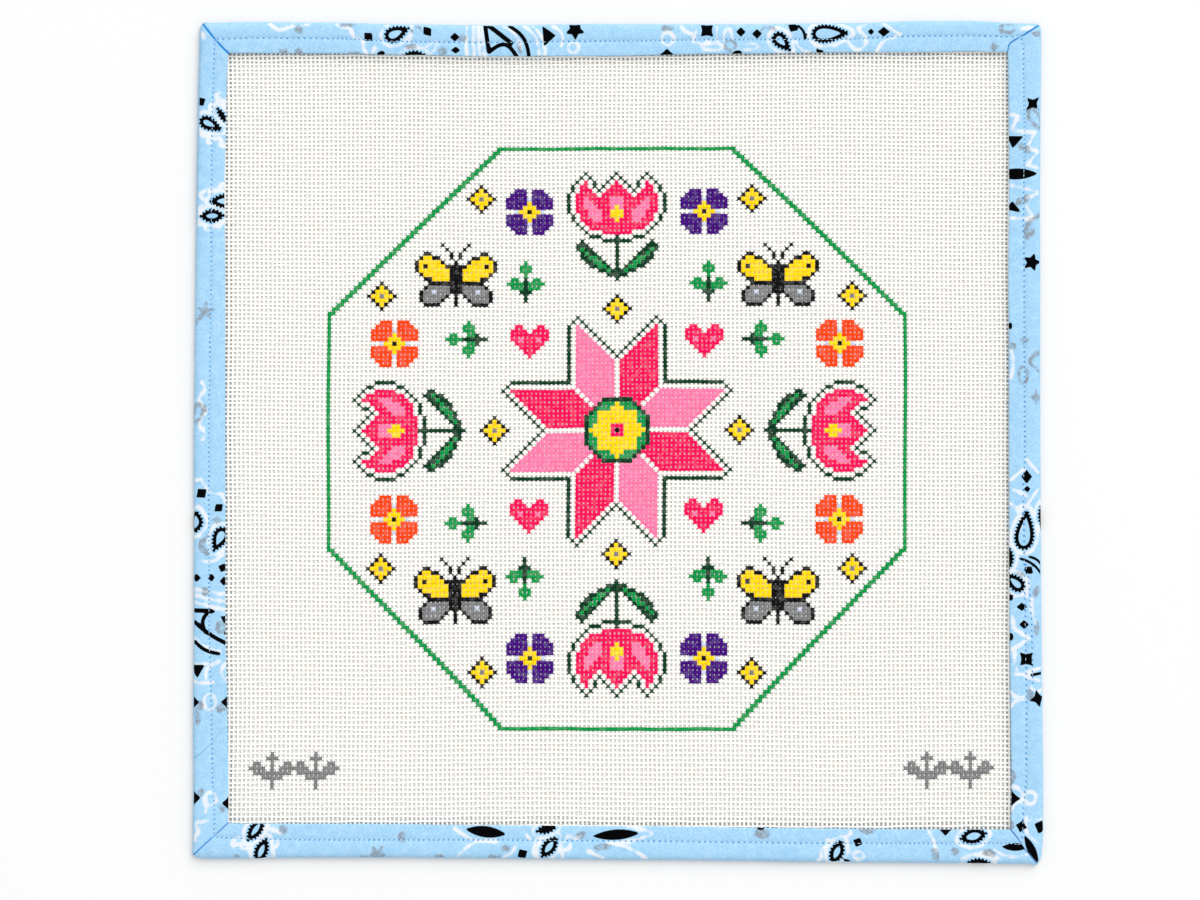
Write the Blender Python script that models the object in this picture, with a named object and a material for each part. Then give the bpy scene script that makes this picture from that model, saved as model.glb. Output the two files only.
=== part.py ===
"""A needlepoint canvas panel with a bound edge, lying flat with its painted side up.

The panel is two pieces: a cut piece of stiff open-weave canvas, and one strip of bias binding
that is folded in half over the canvas edge and mitred at the corners.
Metres, +Z up, +Y towards the top of the design. The origin is on the surface that the panel
lies on, under the middle of the panel.
"""

import math
from collections import namedtuple

import bmesh
import bpy

# ---------------------------------------------------------------- driving dimensions, in metres

MM = 0.001

PANEL_WIDTH = 0.3810         # fold to fold across, where the binding reaches furthest
PANEL_HEIGHT = 0.3776        # fold to fold up the design, where the binding reaches furthest

CANVAS_THICKNESS = 0.0010    # two flattened threads, one over the other
BINDING_THICKNESS = 0.0010   # one leaf of the binding, with its turned-in hem
CLEARANCE = 0.0003           # air between the canvas and each leaf of the binding
FOLD_GAP = 0.0006            # air between the canvas edge and the inside of the fold

FOLD_RADIUS = 0.0016         # how far in the rounding of the fold reaches
CORNER_RADIUS = 0.0020       # of the panel's four corners
HEM_CORNER_RADIUS = 0.0006   # of the corners where two hems meet on the canvas
CROWN = 0.00020              # how far the cloth swells between the fold, the sewing and the hem
HEM_SOFTNESS = 0.0003        # rounding of the hem's top edge

MITRE_OVER = 0.0006          # rise of the strip that is folded over at a corner
MITRE_UNDER = 0.0001         # rise of the strip that it is folded over
MITRE_REACH = 0.0160         # how far from a corner the tucked-in cloth is felt

SLOPE_START = 0.0150         # the canvas leaves the binding at this distance from its cut edge
SLOPE_END = 0.0620           # and lies flat on the surface from here

STATIONS_PER_SIDE = 26       # cross-sections of the binding along one side
CORNER_STEPS = 4             # cross-sections round one corner
CANVAS_INNER_STEPS = 7       # canvas squares across its flat middle
CANVAS_EDGE_STEPS = (0.0, 0.015, 0.022, 0.030, 0.040, 0.051, 0.062)   # rows of it near the edge

# The four sides, each with rows taken along it from its left or its lower end, in millimetres:
# how far along, how far the fold lies in from the nominal rectangle, and the binding's width.
Row = namedtuple("Row", "along fold_inset width")

BOTTOM_ROWS = (
    Row(6, 2.5, 15.8),
    Row(24, 2.7, 15.6),
    Row(50, 3.1, 15.0),
    Row(95, 3.1, 14.8),
    Row(115, 2.6, 15.0),
    Row(205, 2.2, 15.0),
    Row(245, 1.8, 14.8),
    Row(272, 1.4, 14.8),
    Row(310, 0.9, 15.2),
    Row(346, 0.4, 15.7),
    Row(370, 0.0, 15.9),
)
RIGHT_ROWS = (
    Row(15, 0.4, 14.1),
    Row(34, 0.0, 14.1),
    Row(69, 0.1, 14.3),
    Row(90, 0.8, 13.9),
    Row(141, 1.6, 13.5),
    Row(230, 1.6, 13.5),
    Row(266, 1.2, 14.1),
    Row(362, 1.3, 13.9),
)
TOP_ROWS = (
    Row(6, 1.1, 13.7),
    Row(24, 0.4, 14.1),
    Row(60, 0.4, 14.1),
    Row(95, 1.4, 13.9),
    Row(130, 1.8, 14.2),
    Row(185, 1.4, 14.2),
    Row(240, 1.4, 13.4),
    Row(292, 1.1, 13.0),
    Row(328, 0.0, 14.3),
    Row(346, 0.0, 13.9),
    Row(376, 1.4, 13.0),
)
LEFT_ROWS = (
    Row(15, 0.0, 16.4),
    Row(36, 0.8, 15.5),
    Row(69, 0.5, 15.4),
    Row(105, 0.9, 14.6),
    Row(159, 0.9, 14.3),
    Row(194, 0.5, 14.6),
    Row(230, 0.9, 14.1),
    Row(266, 1.4, 13.7),
    Row(302, 1.8, 13.1),
    Row(338, 2.2, 13.2),
    Row(370, 3.1, 13.1),
)

# The sides in the order in which the strip runs, anticlockwise from the lower left corner.
# lower_end is the side's left or lower end, axis runs to its other end, inward to the middle,
# and reverse says that the strip runs against the axis there.
Side = namedtuple("Side", "rows length lower_end axis inward reverse")

HALF_WIDTH = PANEL_WIDTH / 2
HALF_HEIGHT = PANEL_HEIGHT / 2
LOWER_LEFT = (-HALF_WIDTH, -HALF_HEIGHT)
SIDES = (
    Side(BOTTOM_ROWS, PANEL_WIDTH, LOWER_LEFT, (1, 0), (0, 1), False),
    Side(RIGHT_ROWS, PANEL_HEIGHT, (HALF_WIDTH, -HALF_HEIGHT), (0, 1), (-1, 0), False),
    Side(TOP_ROWS, PANEL_WIDTH, (-HALF_WIDTH, HALF_HEIGHT), (1, 0), (0, -1), True),
    Side(LEFT_ROWS, PANEL_HEIGHT, LOWER_LEFT, (0, 1), (1, 0), True),
)

CANVAS_BASE = BINDING_THICKNESS + CLEARANCE                      # canvas underside in the binding
LEAF_BASE = CANVAS_BASE + CANVAS_THICKNESS + CLEARANCE           # underside of the upper leaf
BINDING_TOP = LEAF_BASE + BINDING_THICKNESS
CANVAS_INSET = BINDING_THICKNESS + FOLD_GAP                      # cut edge, in from the fold


# ---------------------------------------------------------------- the outline

def smooth_step(value):
    """0 below 0, 1 above 1, and a soft S between them."""
    t = min(max(value, 0.0), 1.0)
    return t * t * (3 - 2 * t)


def row_value(rows, along, column):
    """A column of a side's table at a distance along the side, blended between its rows."""
    place = along / MM
    previous = rows[0]
    for row in rows:
        if place <= row.along:
            span = max(row.along - previous.along, 1e-9)
            share = smooth_step((place - previous.along) / span)
            low = getattr(previous, column)
            high = getattr(row, column)
            return (low + (high - low) * share) * MM
        previous = row
    return getattr(rows[-1], column) * MM


def fold_distance(side, along):
    return row_value(side.rows, along, "fold_inset")


def hem_distance(side, along):
    return fold_distance(side, along) + row_value(side.rows, along, "width")


def canvas_distance(side, along):
    return fold_distance(side, along) + CANVAS_INSET


def side_point(side, along, distance):
    """The point at a distance along the side and a distance in from the nominal rectangle."""
    x = side.lower_end[0] + side.axis[0] * along + side.inward[0] * distance
    y = side.lower_end[1] + side.axis[1] * along + side.inward[1] * distance
    return (x, y)


def end_distances(index, line):
    """How far one line of a side lies in from its neighbours at the side's two ends."""
    side = SIDES[index]
    before = SIDES[index - 1]
    after = SIDES[(index + 1) % len(SIDES)]
    first, last = (after, before) if side.reverse else (before, after)
    at_first = 0.0 if not first_end_is_high(side, first) else first.length
    at_last = 0.0 if not first_end_is_high(side, last) else last.length
    return line(first, at_first), line(last, at_last)


def first_end_is_high(side, neighbour):
    """Whether the side lies at the neighbour's right or upper end."""
    reach = side.lower_end[0] * neighbour.axis[0] + side.lower_end[1] * neighbour.axis[1]
    return reach > 0


def side_line(index, line, radius, count):
    """Points of one line of a side, in the strip's order, between its two corner roundings."""
    side = SIDES[index]
    low, high = end_distances(index, line)
    start = low + radius
    end = side.length - high - radius
    points = []
    for step in range(count + 1):
        share = step / count
        if side.reverse:
            share = 1 - share
        along = start + (end - start) * share
        points.append(side_point(side, along, line(side, along)))
    return points


def corner_arc(before, after, radius, steps):
    """The points between the last of one side and the first of the next, on a quarter circle."""
    centre_x = before[0] if abs(before[1]) > abs(after[1]) else after[0]
    centre_y = before[1] if abs(before[0]) > abs(after[0]) else after[1]
    start = math.atan2(before[1] - centre_y, before[0] - centre_x)
    points = []
    for step in range(1, steps):
        angle = start + math.pi / 2 * step / steps
        points.append((centre_x + radius * math.cos(angle), centre_y + radius * math.sin(angle)))
    return points


def ring(line, radius):
    """One closed line round the panel, with the same stations whichever line it is."""
    sides = [side_line(i, line, radius, STATIONS_PER_SIDE) for i in range(len(SIDES))]
    points = []
    for index, side in enumerate(sides):
        points.extend(side)
        following = sides[(index + 1) % len(sides)]
        points.extend(corner_arc(side[-1], following[0], radius, CORNER_STEPS))
    return points


# ---------------------------------------------------------------- the binding

def mitre_rise(station):
    """How far the tucked-in corner cloth lifts the upper leaf at a station of the ring."""
    period = STATIONS_PER_SIDE + CORNER_STEPS
    within = station % period
    spacing = PANEL_WIDTH / STATIONS_PER_SIDE
    crease = STATIONS_PER_SIDE + CORNER_STEPS // 2
    if within <= STATIONS_PER_SIDE:
        after_corner = within * spacing
        before_corner = (STATIONS_PER_SIDE - within) * spacing
        over = MITRE_OVER * (1 - smooth_step(after_corner / MITRE_REACH))
        under = MITRE_UNDER * (1 - smooth_step(before_corner / MITRE_REACH))
        return over + under
    return MITRE_UNDER if within < crease else MITRE_OVER


def binding_section(width, rise):
    """The closed cross-section of the folded strip, as distances in from the fold and heights.

    It runs along the underside to the fold, over the fold, across the top to the hem, and back
    inside the fold."""
    middle = BINDING_TOP / 2
    low_shoulder = 0.30
    high_shoulder = 0.08
    outside = [
        (width, 0.0),
        (width * 0.5, 0.0),
        (FOLD_RADIUS, 0.0),
        (FOLD_RADIUS * low_shoulder, BINDING_TOP * 0.13),
        (FOLD_RADIUS * high_shoulder, BINDING_TOP * 0.29),
        (0.0, middle),
        (FOLD_RADIUS * high_shoulder, BINDING_TOP * 0.71),
        (FOLD_RADIUS * low_shoulder, BINDING_TOP * 0.87 + rise * 0.5),
        (FOLD_RADIUS, BINDING_TOP + rise),
        (width * 0.27, BINDING_TOP + CROWN + rise),
        (width * 0.50, BINDING_TOP + rise),
        (width * 0.76, BINDING_TOP + CROWN + rise),
        (width - HEM_SOFTNESS, BINDING_TOP + rise),
        (width, BINDING_TOP - HEM_SOFTNESS + rise),
    ]
    wall = BINDING_THICKNESS
    turn = wall + CLEARANCE
    inside = [
        (width, LEAF_BASE),
        (width * 0.5, LEAF_BASE),
        (turn, LEAF_BASE),
        (wall, LEAF_BASE - CLEARANCE),
        (wall, wall + CLEARANCE),
        (turn, wall),
        (width * 0.5, wall),
        (width, wall),
    ]
    return outside + inside


def make_binding():
    """One strip, folded over the canvas edge all the way round and joined end to end."""
    folds = ring(fold_distance, CORNER_RADIUS)
    hems = ring(hem_distance, HEM_CORNER_RADIUS)
    shape = bmesh.new()
    loops = []
    for station, (fold, hem) in enumerate(zip(folds, hems)):
        width = nominal_width(station)
        loop = []
        for distance, height in binding_section(width, mitre_rise(station)):
            share = distance / width
            x = fold[0] + (hem[0] - fold[0]) * share
            y = fold[1] + (hem[1] - fold[1]) * share
            loop.append(shape.verts.new((x, y, height)))
        loops.append(loop)
    count = len(loops[0])
    for station, loop in enumerate(loops):
        following = loops[(station + 1) % len(loops)]
        for i in range(count):
            j = (i + 1) % count
            shape.faces.new((loop[i], following[i], following[j], loop[j]))
    return finish_mesh(shape, "binding")


def nominal_width(station):
    """The strip's width straight across at a station; a corner takes its side's last width."""
    period = STATIONS_PER_SIDE + CORNER_STEPS
    side = SIDES[station // period]
    share = min((station % period) / STATIONS_PER_SIDE, 1.0)
    if side.reverse:
        share = 1 - share
    return row_value(side.rows, share * side.length, "width")


# ---------------------------------------------------------------- the canvas

def canvas_steps(length):
    """Shares of a side's length at which the canvas has a row of points, close at its edges."""
    low = [step / length for step in CANVAS_EDGE_STEPS]
    inner = 1 - 2 * low[-1]
    middle = [low[-1] + inner * i / CANVAS_INNER_STEPS for i in range(1, CANVAS_INNER_STEPS)]
    high = [1 - share for share in reversed(low)]
    return low + middle + high


def canvas_corner(column, row):
    """A corner of the cut canvas; column and row are 0 or 1."""
    bottom, right, top, left = SIDES
    upright = right if column else left
    level = top if row else bottom
    x_inset = canvas_distance(upright, upright.length * row)
    y_inset = canvas_distance(level, level.length * column)
    x = (HALF_WIDTH - x_inset) * (1 if column else -1)
    y = (HALF_HEIGHT - y_inset) * (1 if row else -1)
    return (x, y)


def canvas_edge(side, start, end, share, across):
    """A point of one cut edge, at a share of the way from one corner of it to the other."""
    run = 1 - across
    place = start[run] + (end[run] - start[run]) * share
    along = place - side.lower_end[run]
    return side_point(side, along, canvas_distance(side, along))


def canvas_point(u, v):
    """Blends the four cut edges over the whole canvas."""
    bottom, right, top, left = SIDES
    c00, c10, c01, c11 = (canvas_corner(c, r) for r in (0, 1) for c in (0, 1))
    low = canvas_edge(bottom, c00, c10, u, 1)
    high = canvas_edge(top, c01, c11, u, 1)
    west = canvas_edge(left, c00, c01, v, 0)
    east = canvas_edge(right, c10, c11, v, 0)
    point = []
    for k in (0, 1):
        ruled = (1 - v) * low[k] + v * high[k] + (1 - u) * west[k] + u * east[k]
        corners = (1 - v) * ((1 - u) * c00[k] + u * c10[k]) + v * ((1 - u) * c01[k] + u * c11[k])
        point.append(ruled - corners)
    return point


def canvas_height(u, v):
    """The canvas lies on the surface in its middle and rises to its place in the binding."""
    from_side = min(u, 1 - u) * PANEL_WIDTH
    from_end = min(v, 1 - v) * PANEL_HEIGHT
    settled = 1.0
    for distance in (from_side, from_end):
        settled *= smooth_step((distance - SLOPE_START) / (SLOPE_END - SLOPE_START))
    return CANVAS_BASE * (1 - settled)


def make_canvas():
    """One stiff sheet with its cut edge inside the fold of the binding."""
    us = canvas_steps(PANEL_WIDTH)
    vs = canvas_steps(PANEL_HEIGHT)
    shape = bmesh.new()
    layers = []
    for lift in (0.0, CANVAS_THICKNESS):
        grid = []
        for v in vs:
            row = []
            for u in us:
                x, y = canvas_point(u, v)
                row.append(shape.verts.new((x, y, canvas_height(u, v) + lift)))
            grid.append(row)
        layers.append(grid)
    for grid in layers:
        for j in range(len(vs) - 1):
            for i in range(len(us) - 1):
                shape.faces.new((grid[j][i], grid[j][i + 1], grid[j + 1][i + 1], grid[j + 1][i]))
    for lower, upper in zip(rim(layers[0]), rim(layers[1])):
        shape.faces.new((lower[0], lower[1], upper[1], upper[0]))
    return finish_mesh(shape, "canvas")


def rim(grid):
    """The pairs of neighbouring points round a grid's edge."""
    top = grid[-1]
    outline = list(grid[0])
    outline += [row[-1] for row in grid[1:-1]]
    outline += list(reversed(top))
    outline += [row[0] for row in reversed(grid[1:-1])]
    return list(zip(outline, outline[1:] + outline[:1]))


# ---------------------------------------------------------------- objects and materials

def finish_mesh(shape, name):
    """Turns a closed shape into an object of that name, with its faces pointing out."""
    bmesh.ops.recalc_face_normals(shape, faces=shape.faces)
    mesh = bpy.data.meshes.new(name)
    shape.to_mesh(mesh)
    shape.free()
    mesh.shade_smooth()
    mesh.set_sharp_from_angle(angle=math.radians(40))
    piece = bpy.data.objects.new(name, mesh)
    bpy.context.scene.collection.objects.link(piece)
    return piece


def add_material(piece, name, colour, roughness):
    material = bpy.data.materials.new(name)
    material.use_nodes = True
    shader = material.node_tree.nodes["Principled BSDF"]
    shader.inputs["Base Color"].default_value = (*colour, 1.0)
    shader.inputs["Roughness"].default_value = roughness
    shader.inputs["Metallic"].default_value = 0.0
    piece.data.materials.append(material)


for old in list(bpy.data.objects):
    bpy.data.objects.remove(old, do_unlink=True)

canvas = make_canvas()
add_material(canvas, "stiff_white_canvas", (0.90, 0.89, 0.86), 0.85)

binding = make_binding()
add_material(binding, "pale_blue_cotton", (0.39, 0.70, 0.94), 0.80)
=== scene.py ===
"""Needlepoint canvas panel with a bound edge, lying flat and face up: the looks of its pieces.

Metres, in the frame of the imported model: +Z up, +Y towards the top of the design.
"""

import math
from collections import namedtuple

import bpy
import numpy as np
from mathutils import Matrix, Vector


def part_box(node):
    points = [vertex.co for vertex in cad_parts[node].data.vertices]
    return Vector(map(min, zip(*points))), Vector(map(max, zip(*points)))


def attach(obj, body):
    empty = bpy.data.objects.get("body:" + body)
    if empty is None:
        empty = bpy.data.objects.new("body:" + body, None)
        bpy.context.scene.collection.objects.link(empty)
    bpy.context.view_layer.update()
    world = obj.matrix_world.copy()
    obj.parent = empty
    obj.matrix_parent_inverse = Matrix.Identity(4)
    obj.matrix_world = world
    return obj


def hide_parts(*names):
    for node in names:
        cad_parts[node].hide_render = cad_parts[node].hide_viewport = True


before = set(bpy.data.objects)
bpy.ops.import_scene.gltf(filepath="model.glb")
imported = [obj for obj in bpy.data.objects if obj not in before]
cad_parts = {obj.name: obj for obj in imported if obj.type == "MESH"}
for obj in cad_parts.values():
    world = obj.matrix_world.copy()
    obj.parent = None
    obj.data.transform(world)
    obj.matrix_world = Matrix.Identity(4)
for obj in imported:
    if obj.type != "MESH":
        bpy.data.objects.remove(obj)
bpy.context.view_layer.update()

# ---------------------------------------------------------------- the weave of the canvas
# The canvas is a stiff open weave of single cotton threads, about 13 to the inch, each passing
# over and under the next. It is cut square, and lies on the surface in its middle but is
# lifted a little towards its edge, which sits inside the binding.

MM = 0.001
THREAD_PITCH = 25.4 * MM / 13           # from one upright thread to the next
WARP_HALF_WIDTH = 0.665 * MM            # of the upright threads, and of the level ones
WEFT_HALF_WIDTH = 0.600 * MM
THREAD_DEPTH = 0.38 * MM
THREAD_WAVE = 0.13 * MM                 # how far a thread rises over each thread that it crosses
TUCK_GAP = 2.6 * MM                     # between the cut edge and the inside of the fold, at most
CANVAS_REST = 0.30 * MM                 # height of the weave's middle where the canvas lies flat
CANVAS_LIFT = 0.60 * MM                 # how much higher it lies in the binding
LIFT_FADES = 3.5 * MM                   # the lift fades over this much past the binding's hem

# The middle of the canvas that lies lower, inside the hems of the binding.
FREE_LEFT = -175.0 * MM
FREE_RIGHT = 175.4 * MM
FREE_FOOT = -171.2 * MM
FREE_HEAD = 173.4 * MM

# The level threads lie closer together at the top of the design than at its foot.
WeftRow = namedtuple("WeftRow", "height pitch")
WEFT_ROWS = (
    WeftRow(0.00, 2.20 * MM),
    WeftRow(0.14, 2.14 * MM),
    WeftRow(0.25, 2.04 * MM),
    WeftRow(0.45, 1.98 * MM),
    WeftRow(0.70, 1.91 * MM),
    WeftRow(0.85, 1.87 * MM),
    WeftRow(1.00, 1.88 * MM),
)

canvas_low, canvas_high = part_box("canvas")
WOVEN_LEFT = -176.4 * MM                # the first and last threads that show past the binding
WOVEN_RIGHT = 177.4 * MM
WOVEN_FOOT = -173.9 * MM
WOVEN_HEAD = 175.8 * MM


def smooth(value):
    """A soft S from 0 to 1."""
    t = np.clip(value, 0.0, 1.0)
    return t * t * (3 - 2 * t)


def upright_places():
    """Where the upright threads that show lie across the canvas."""
    count = int(round((WOVEN_RIGHT - WOVEN_LEFT) / THREAD_PITCH)) + 1
    return np.linspace(WOVEN_LEFT, WOVEN_RIGHT, count)


def level_places():
    """Where the level threads that show lie up the canvas, by the pitch at each height."""
    heights = [row.height for row in WEFT_ROWS]
    pitches = [row.pitch for row in WEFT_ROWS]
    places = [WOVEN_FOOT]
    while places[-1] < WOVEN_HEAD:
        share = (places[-1] - WOVEN_FOOT) / (WOVEN_HEAD - WOVEN_FOOT)
        places.append(places[-1] + float(np.interp(share, heights, pitches)))
    return np.array(places)


def wander(x, y):
    """How far the stiff threads stray from a true grid, across and up."""
    across = 0.22 * np.sin(31 * y + 9 * x) + 0.12 * np.sin(73 * y - 17 * x + 1.3)
    up = 0.26 * np.sin(27 * x - 11 * y + 0.7) + 0.12 * np.sin(66 * x + 13 * y)
    return across * MM, up * MM


def level_stray(index, x):
    """How far one level thread strays from its own place along its length."""
    slow = 0.12 * np.sin(190 * x + 2.4 * index + 0.8 * np.sin(5.1 * index))
    return (slow + 0.08 * np.sin(430 * x + 4.1 * index)) * MM


def canvas_middle(x, y):
    """Height of the middle of the weave."""
    inside = np.minimum(np.minimum(x - FREE_LEFT, FREE_RIGHT - x), np.minimum(y - FREE_FOOT, FREE_HEAD - y))
    return CANVAS_REST + CANVAS_LIFT * (1 - smooth(inside / LIFT_FADES))


columns = upright_places()
rows = level_places()

# ---------------------------------------------------------------- the painted design
# The design is painted by hand, one colour on each crossing of two threads, as a guide for the
# stitches. It is a folk sampler: an eight-pointed star, tulips, butterflies and four-petalled
# flowers in an eight-sided frame, with a leaf sprig in each lower corner of the canvas.

# body swells the threads, run is how far the paint fills the corners of the holes, and the last
# column is how much paler that paint is drawn in a hole painted all round: painted light for the
# bright table seen through it.
Paint = namedtuple("Paint", "letter colour body run thinned")
PAINTS = (
    Paint("G", (0.000, 0.290, 0.060), 1.10, 0.30 * MM, 0.18),     # green
    Paint("H", (0.900, 0.000, 0.095), 1.12, 0.30 * MM, 0.26),     # hot pink
    Paint("L", (1.000, 0.190, 0.380), 1.12, 0.34 * MM, 0.35),     # light pink
    Paint("D", (0.000, 0.040, 0.012), 1.20, 0.52 * MM, 0.00),     # dark green
    Paint("O", (0.950, 0.055, 0.000), 1.12, 0.32 * MM, 0.25),     # orange
    Paint("P", (0.055, 0.000, 0.190), 1.14, 0.36 * MM, 0.05),     # purple
    Paint("Y", (1.000, 0.640, 0.000), 1.18, 0.42 * MM, 0.10),     # yellow
    Paint("K", (0.002, 0.002, 0.003), 1.20, 0.46 * MM, 0.00),     # black
    Paint("M", (0.200, 0.200, 0.205), 1.04, 0.22 * MM, 0.30),     # mid grey
    Paint("W", (0.560, 0.600, 0.740), 1.14, 0.40 * MM, 0.20),     # pale lilac
)
BARE = "."

TULIP_HEAD = """
...H......H
..HH.....HH
..HHH...HHH
.HHHHH.HHHH
.HHLHHHHHLL
.HHLLHHHHLL
.HHLLLHHHLY
.HHHLLLHHYY
..HHLLLHHYY
..HHHLLHHHY
...HHHHHHHH
....HHHHHHH
.......HHHH
""".split()
TULIP_STEM = """
..........D
..D.......D
.DDD......D
.DGDD.....D
..DGDD....D
..DDGGD...D
...DDGGD..D
....DDGGD.D
......DDGDD
........DDD
..........D
""".split()
BUTTERFLY = """
......K...
.......K..
..KK....K.
.KYYKK..K.
KYYYYYK..K
KYKYYYYKKK
KYYYYYYYKK
.KYYYYYYKK
..KKYYYYKK
...KKKKKKK
..KMMMMMKK
.KMMWMMMKK
.KMMMMMK.K
.KMMMMK..K
..KKKK...K
""".split()
HEART = """
.HH..
HHHH.
HHHHH
HHLHH
.HHHH
..HHH
...HH
....H
""".split()
SPRIG = """
....G
...GG
...GG
....G
.GG.D
GGGGD
.GGGD
...DD
....D
....D
""".split()
BEAD = """
...K
..KY
.KYY
KYYM
.KYY
..KY
...K
""".split()
CORNER_SPRIG = """
.....M
....MM
.MM..M
MMMM.M
.MMMMM
...MMM
.....M
.....M
""".split()

FRAME_REACH = 66            # crossings from the middle of the design to its frame
FRAME_FLAT = 27             # half the length of each level or upright side of the frame
STAR_LIMB = 15              # length and breadth of the star's eight limbs
STAR_BREADTH = 9
EYE_REACH = 7               # of the flower at the star's middle, and across its cut corners
EYE_CORNER = 10
PETAL_REACH = 5             # of the four-petalled flowers
TULIP_AT = 47
SPRIG_OUT = 34
SPRIG_BESIDE = 21
CORNER_SPRIGS_AT = (-79, -69, 71, 81)
CORNER_SPRIGS_UP = -75
DESIGN_X = -0.6 * MM
FRAME_HEAD = 132.4 * MM     # height of the frame's top line

chart = np.full((len(rows), len(columns)), BARE)
middle_column = int(np.argmin(abs(columns - DESIGN_X)))
middle_row = int(np.argmin(abs(rows - FRAME_HEAD))) - FRAME_REACH


def whole(half):
    """A motif charted by its left half and its middle column."""
    return np.array([list(line + line[-2::-1]) for line in half])


def paint(motif, across, up, turns=0):
    """Paints a motif round a crossing counted from the design's middle, in quarter turns."""
    turned = np.rot90(motif, turns)[::-1]
    height, width = turned.shape
    foot = middle_row + up - (height - 1) // 2
    left = middle_column + across - width // 2
    place = chart[foot:foot + height, left:left + width]
    place[turned != BARE] = turned[turned != BARE]


def square(reach):
    """For each crossing of a square motif: across, up, and the lesser and greater of the two."""
    steps = np.arange(-reach, reach + 1)
    x, y = np.meshgrid(steps, -steps)
    return x, y, np.minimum(abs(x), abs(y)), np.maximum(abs(x), abs(y))


def ringed(motif):
    """A motif with a dark line round it, one bare crossing away."""
    made = outlined(outlined(np.pad(motif, 2, constant_values=BARE), "w"), "D")
    made[made == "w"] = BARE
    return made


def outlined(motif, letter):
    """Adds one row of crossings in one paint all round a motif."""
    filled = motif != BARE
    spread = filled.copy()
    spread[1:, :] |= filled[:-1, :]
    spread[:-1, :] |= filled[1:, :]
    spread[:, 1:] |= filled[:, :-1]
    spread[:, :-1] |= filled[:, 1:]
    return np.where(spread & ~filled, letter, motif)


def tulip():
    """A tulip whose flower has a line round it."""
    head = ringed(whole(TULIP_HEAD))
    stem = np.pad(whole(TULIP_STEM), ((len(TULIP_HEAD) + 2, 0), (2, 2)), constant_values=BARE)
    head = np.pad(head, ((0, len(stem) - len(head)), (0, 0)), constant_values=BARE)
    return np.where(stem != BARE, stem, head)


def star():
    """An eight-pointed star of rhombs in two colours, with a flower at its middle."""
    x, y, near, far = square(STAR_LIMB + STAR_BREADTH + 1)
    made = np.full(x.shape, BARE)
    limbs = (near >= 1) & (near <= STAR_BREADTH) & (far > near) & (far <= near + STAR_LIMB)
    made[limbs] = "L"
    made[limbs & ((abs(y) > abs(x)) == (x * y > 0))] = "H"
    made = ringed(made)
    x, y, near, far = square(STAR_LIMB + STAR_BREADTH + 3)
    eye = (far <= EYE_REACH) & (near + far <= EYE_CORNER)
    made[eye] = "G"
    made[eye & ((far == EYE_REACH) | (near + far == EYE_CORNER))] = "D"
    made[(near + far <= 6) | (far <= 4)] = "Y"
    made[far <= 1] = "H"
    made[far == 0] = "K"
    return made


def four_petals(letter):
    """A flower of four blunt petals round a yellow eye, with pale tips between them."""
    x, y, near, far = square(PETAL_REACH)
    made = np.full(x.shape, BARE)
    made[(near >= 1) & (near + far < 2 * PETAL_REACH - 1)] = letter
    made[(near == 0) & (far >= 2) & (far <= 3)] = "W"
    made[(near + far <= 2) | (far <= 1)] = "Y"
    made[far == 0] = "K"
    return made


def eight_sides():
    """A frame of one line of crossings, its slanted sides in steps."""
    x, y, near, far = square(FRAME_REACH)
    straight = (far == FRAME_REACH) & (near <= FRAME_FLAT)
    slanted = np.isin(near + far, (FRAME_REACH + FRAME_FLAT, FRAME_REACH + FRAME_FLAT - 1))
    return np.where(straight | slanted, "G", BARE)


paint(eight_sides(), 0, 0)
paint(star(), 0, 0)
for turns, (across, up) in enumerate(((0, 1), (-1, 0), (0, -1), (1, 0))):
    paint(tulip(), TULIP_AT * across, TULIP_AT * up, turns)
    for beside in (-SPRIG_BESIDE, SPRIG_BESIDE):
        paint(whole(SPRIG), SPRIG_OUT * across + beside * up, SPRIG_OUT * up + beside * across, turns)
# Each of these is painted at its four mirrored places, given as crossings across and up.
for motif, across, up in (
        (whole(BEAD), 31, 54), (whole(BEAD), 54, 31), (whole(BEAD), 0, 28), (whole(BEAD), 28, 0),
        (whole(BUTTERFLY), 37, 36), (whole(HEART), 20, 20),
        (four_petals("P"), 20, 51), (four_petals("O"), 51, 20)):
    for x in (-across, across):
        for y in (-up, up):
            paint(motif, x, y)
for across in CORNER_SPRIGS_AT:
    paint(whole(CORNER_SPRIG), across, CORNER_SPRIGS_UP)

# ---------------------------------------------------------------- the canvas threads
# Every thread of the weave is a thin stiff cotton cord of its own, laid straight and pressed a
# little flat. Paint sits on the crossings, runs into the holes beside them and swells the threads.

PAINT_GROUPS = ("paint_a", "paint_b", "paint_c")    # three colours to a group, from the second on
TUCKED_STEP = 9.0 * MM                              # between two points of a thread that is hidden
SLUB = 0.03                     # how unevenly thick the threads are, as a share
UNPAINTED = np.eye(1, len(PAINTS) + 1)


def crossing_facts():
    """For each crossing how it swells, whether it is painted, and which colour from the second on."""
    facts = np.zeros((*chart.shape, len(PAINTS) + 1), np.float32)
    facts[..., 0] = 1
    for index, entry in enumerate(PAINTS):
        here = chart == entry.letter
        facts[here, 0] = entry.body
        facts[here, 1] = 1
        if index > 0:
            facts[here, index + 1] = 1
    return facts


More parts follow.
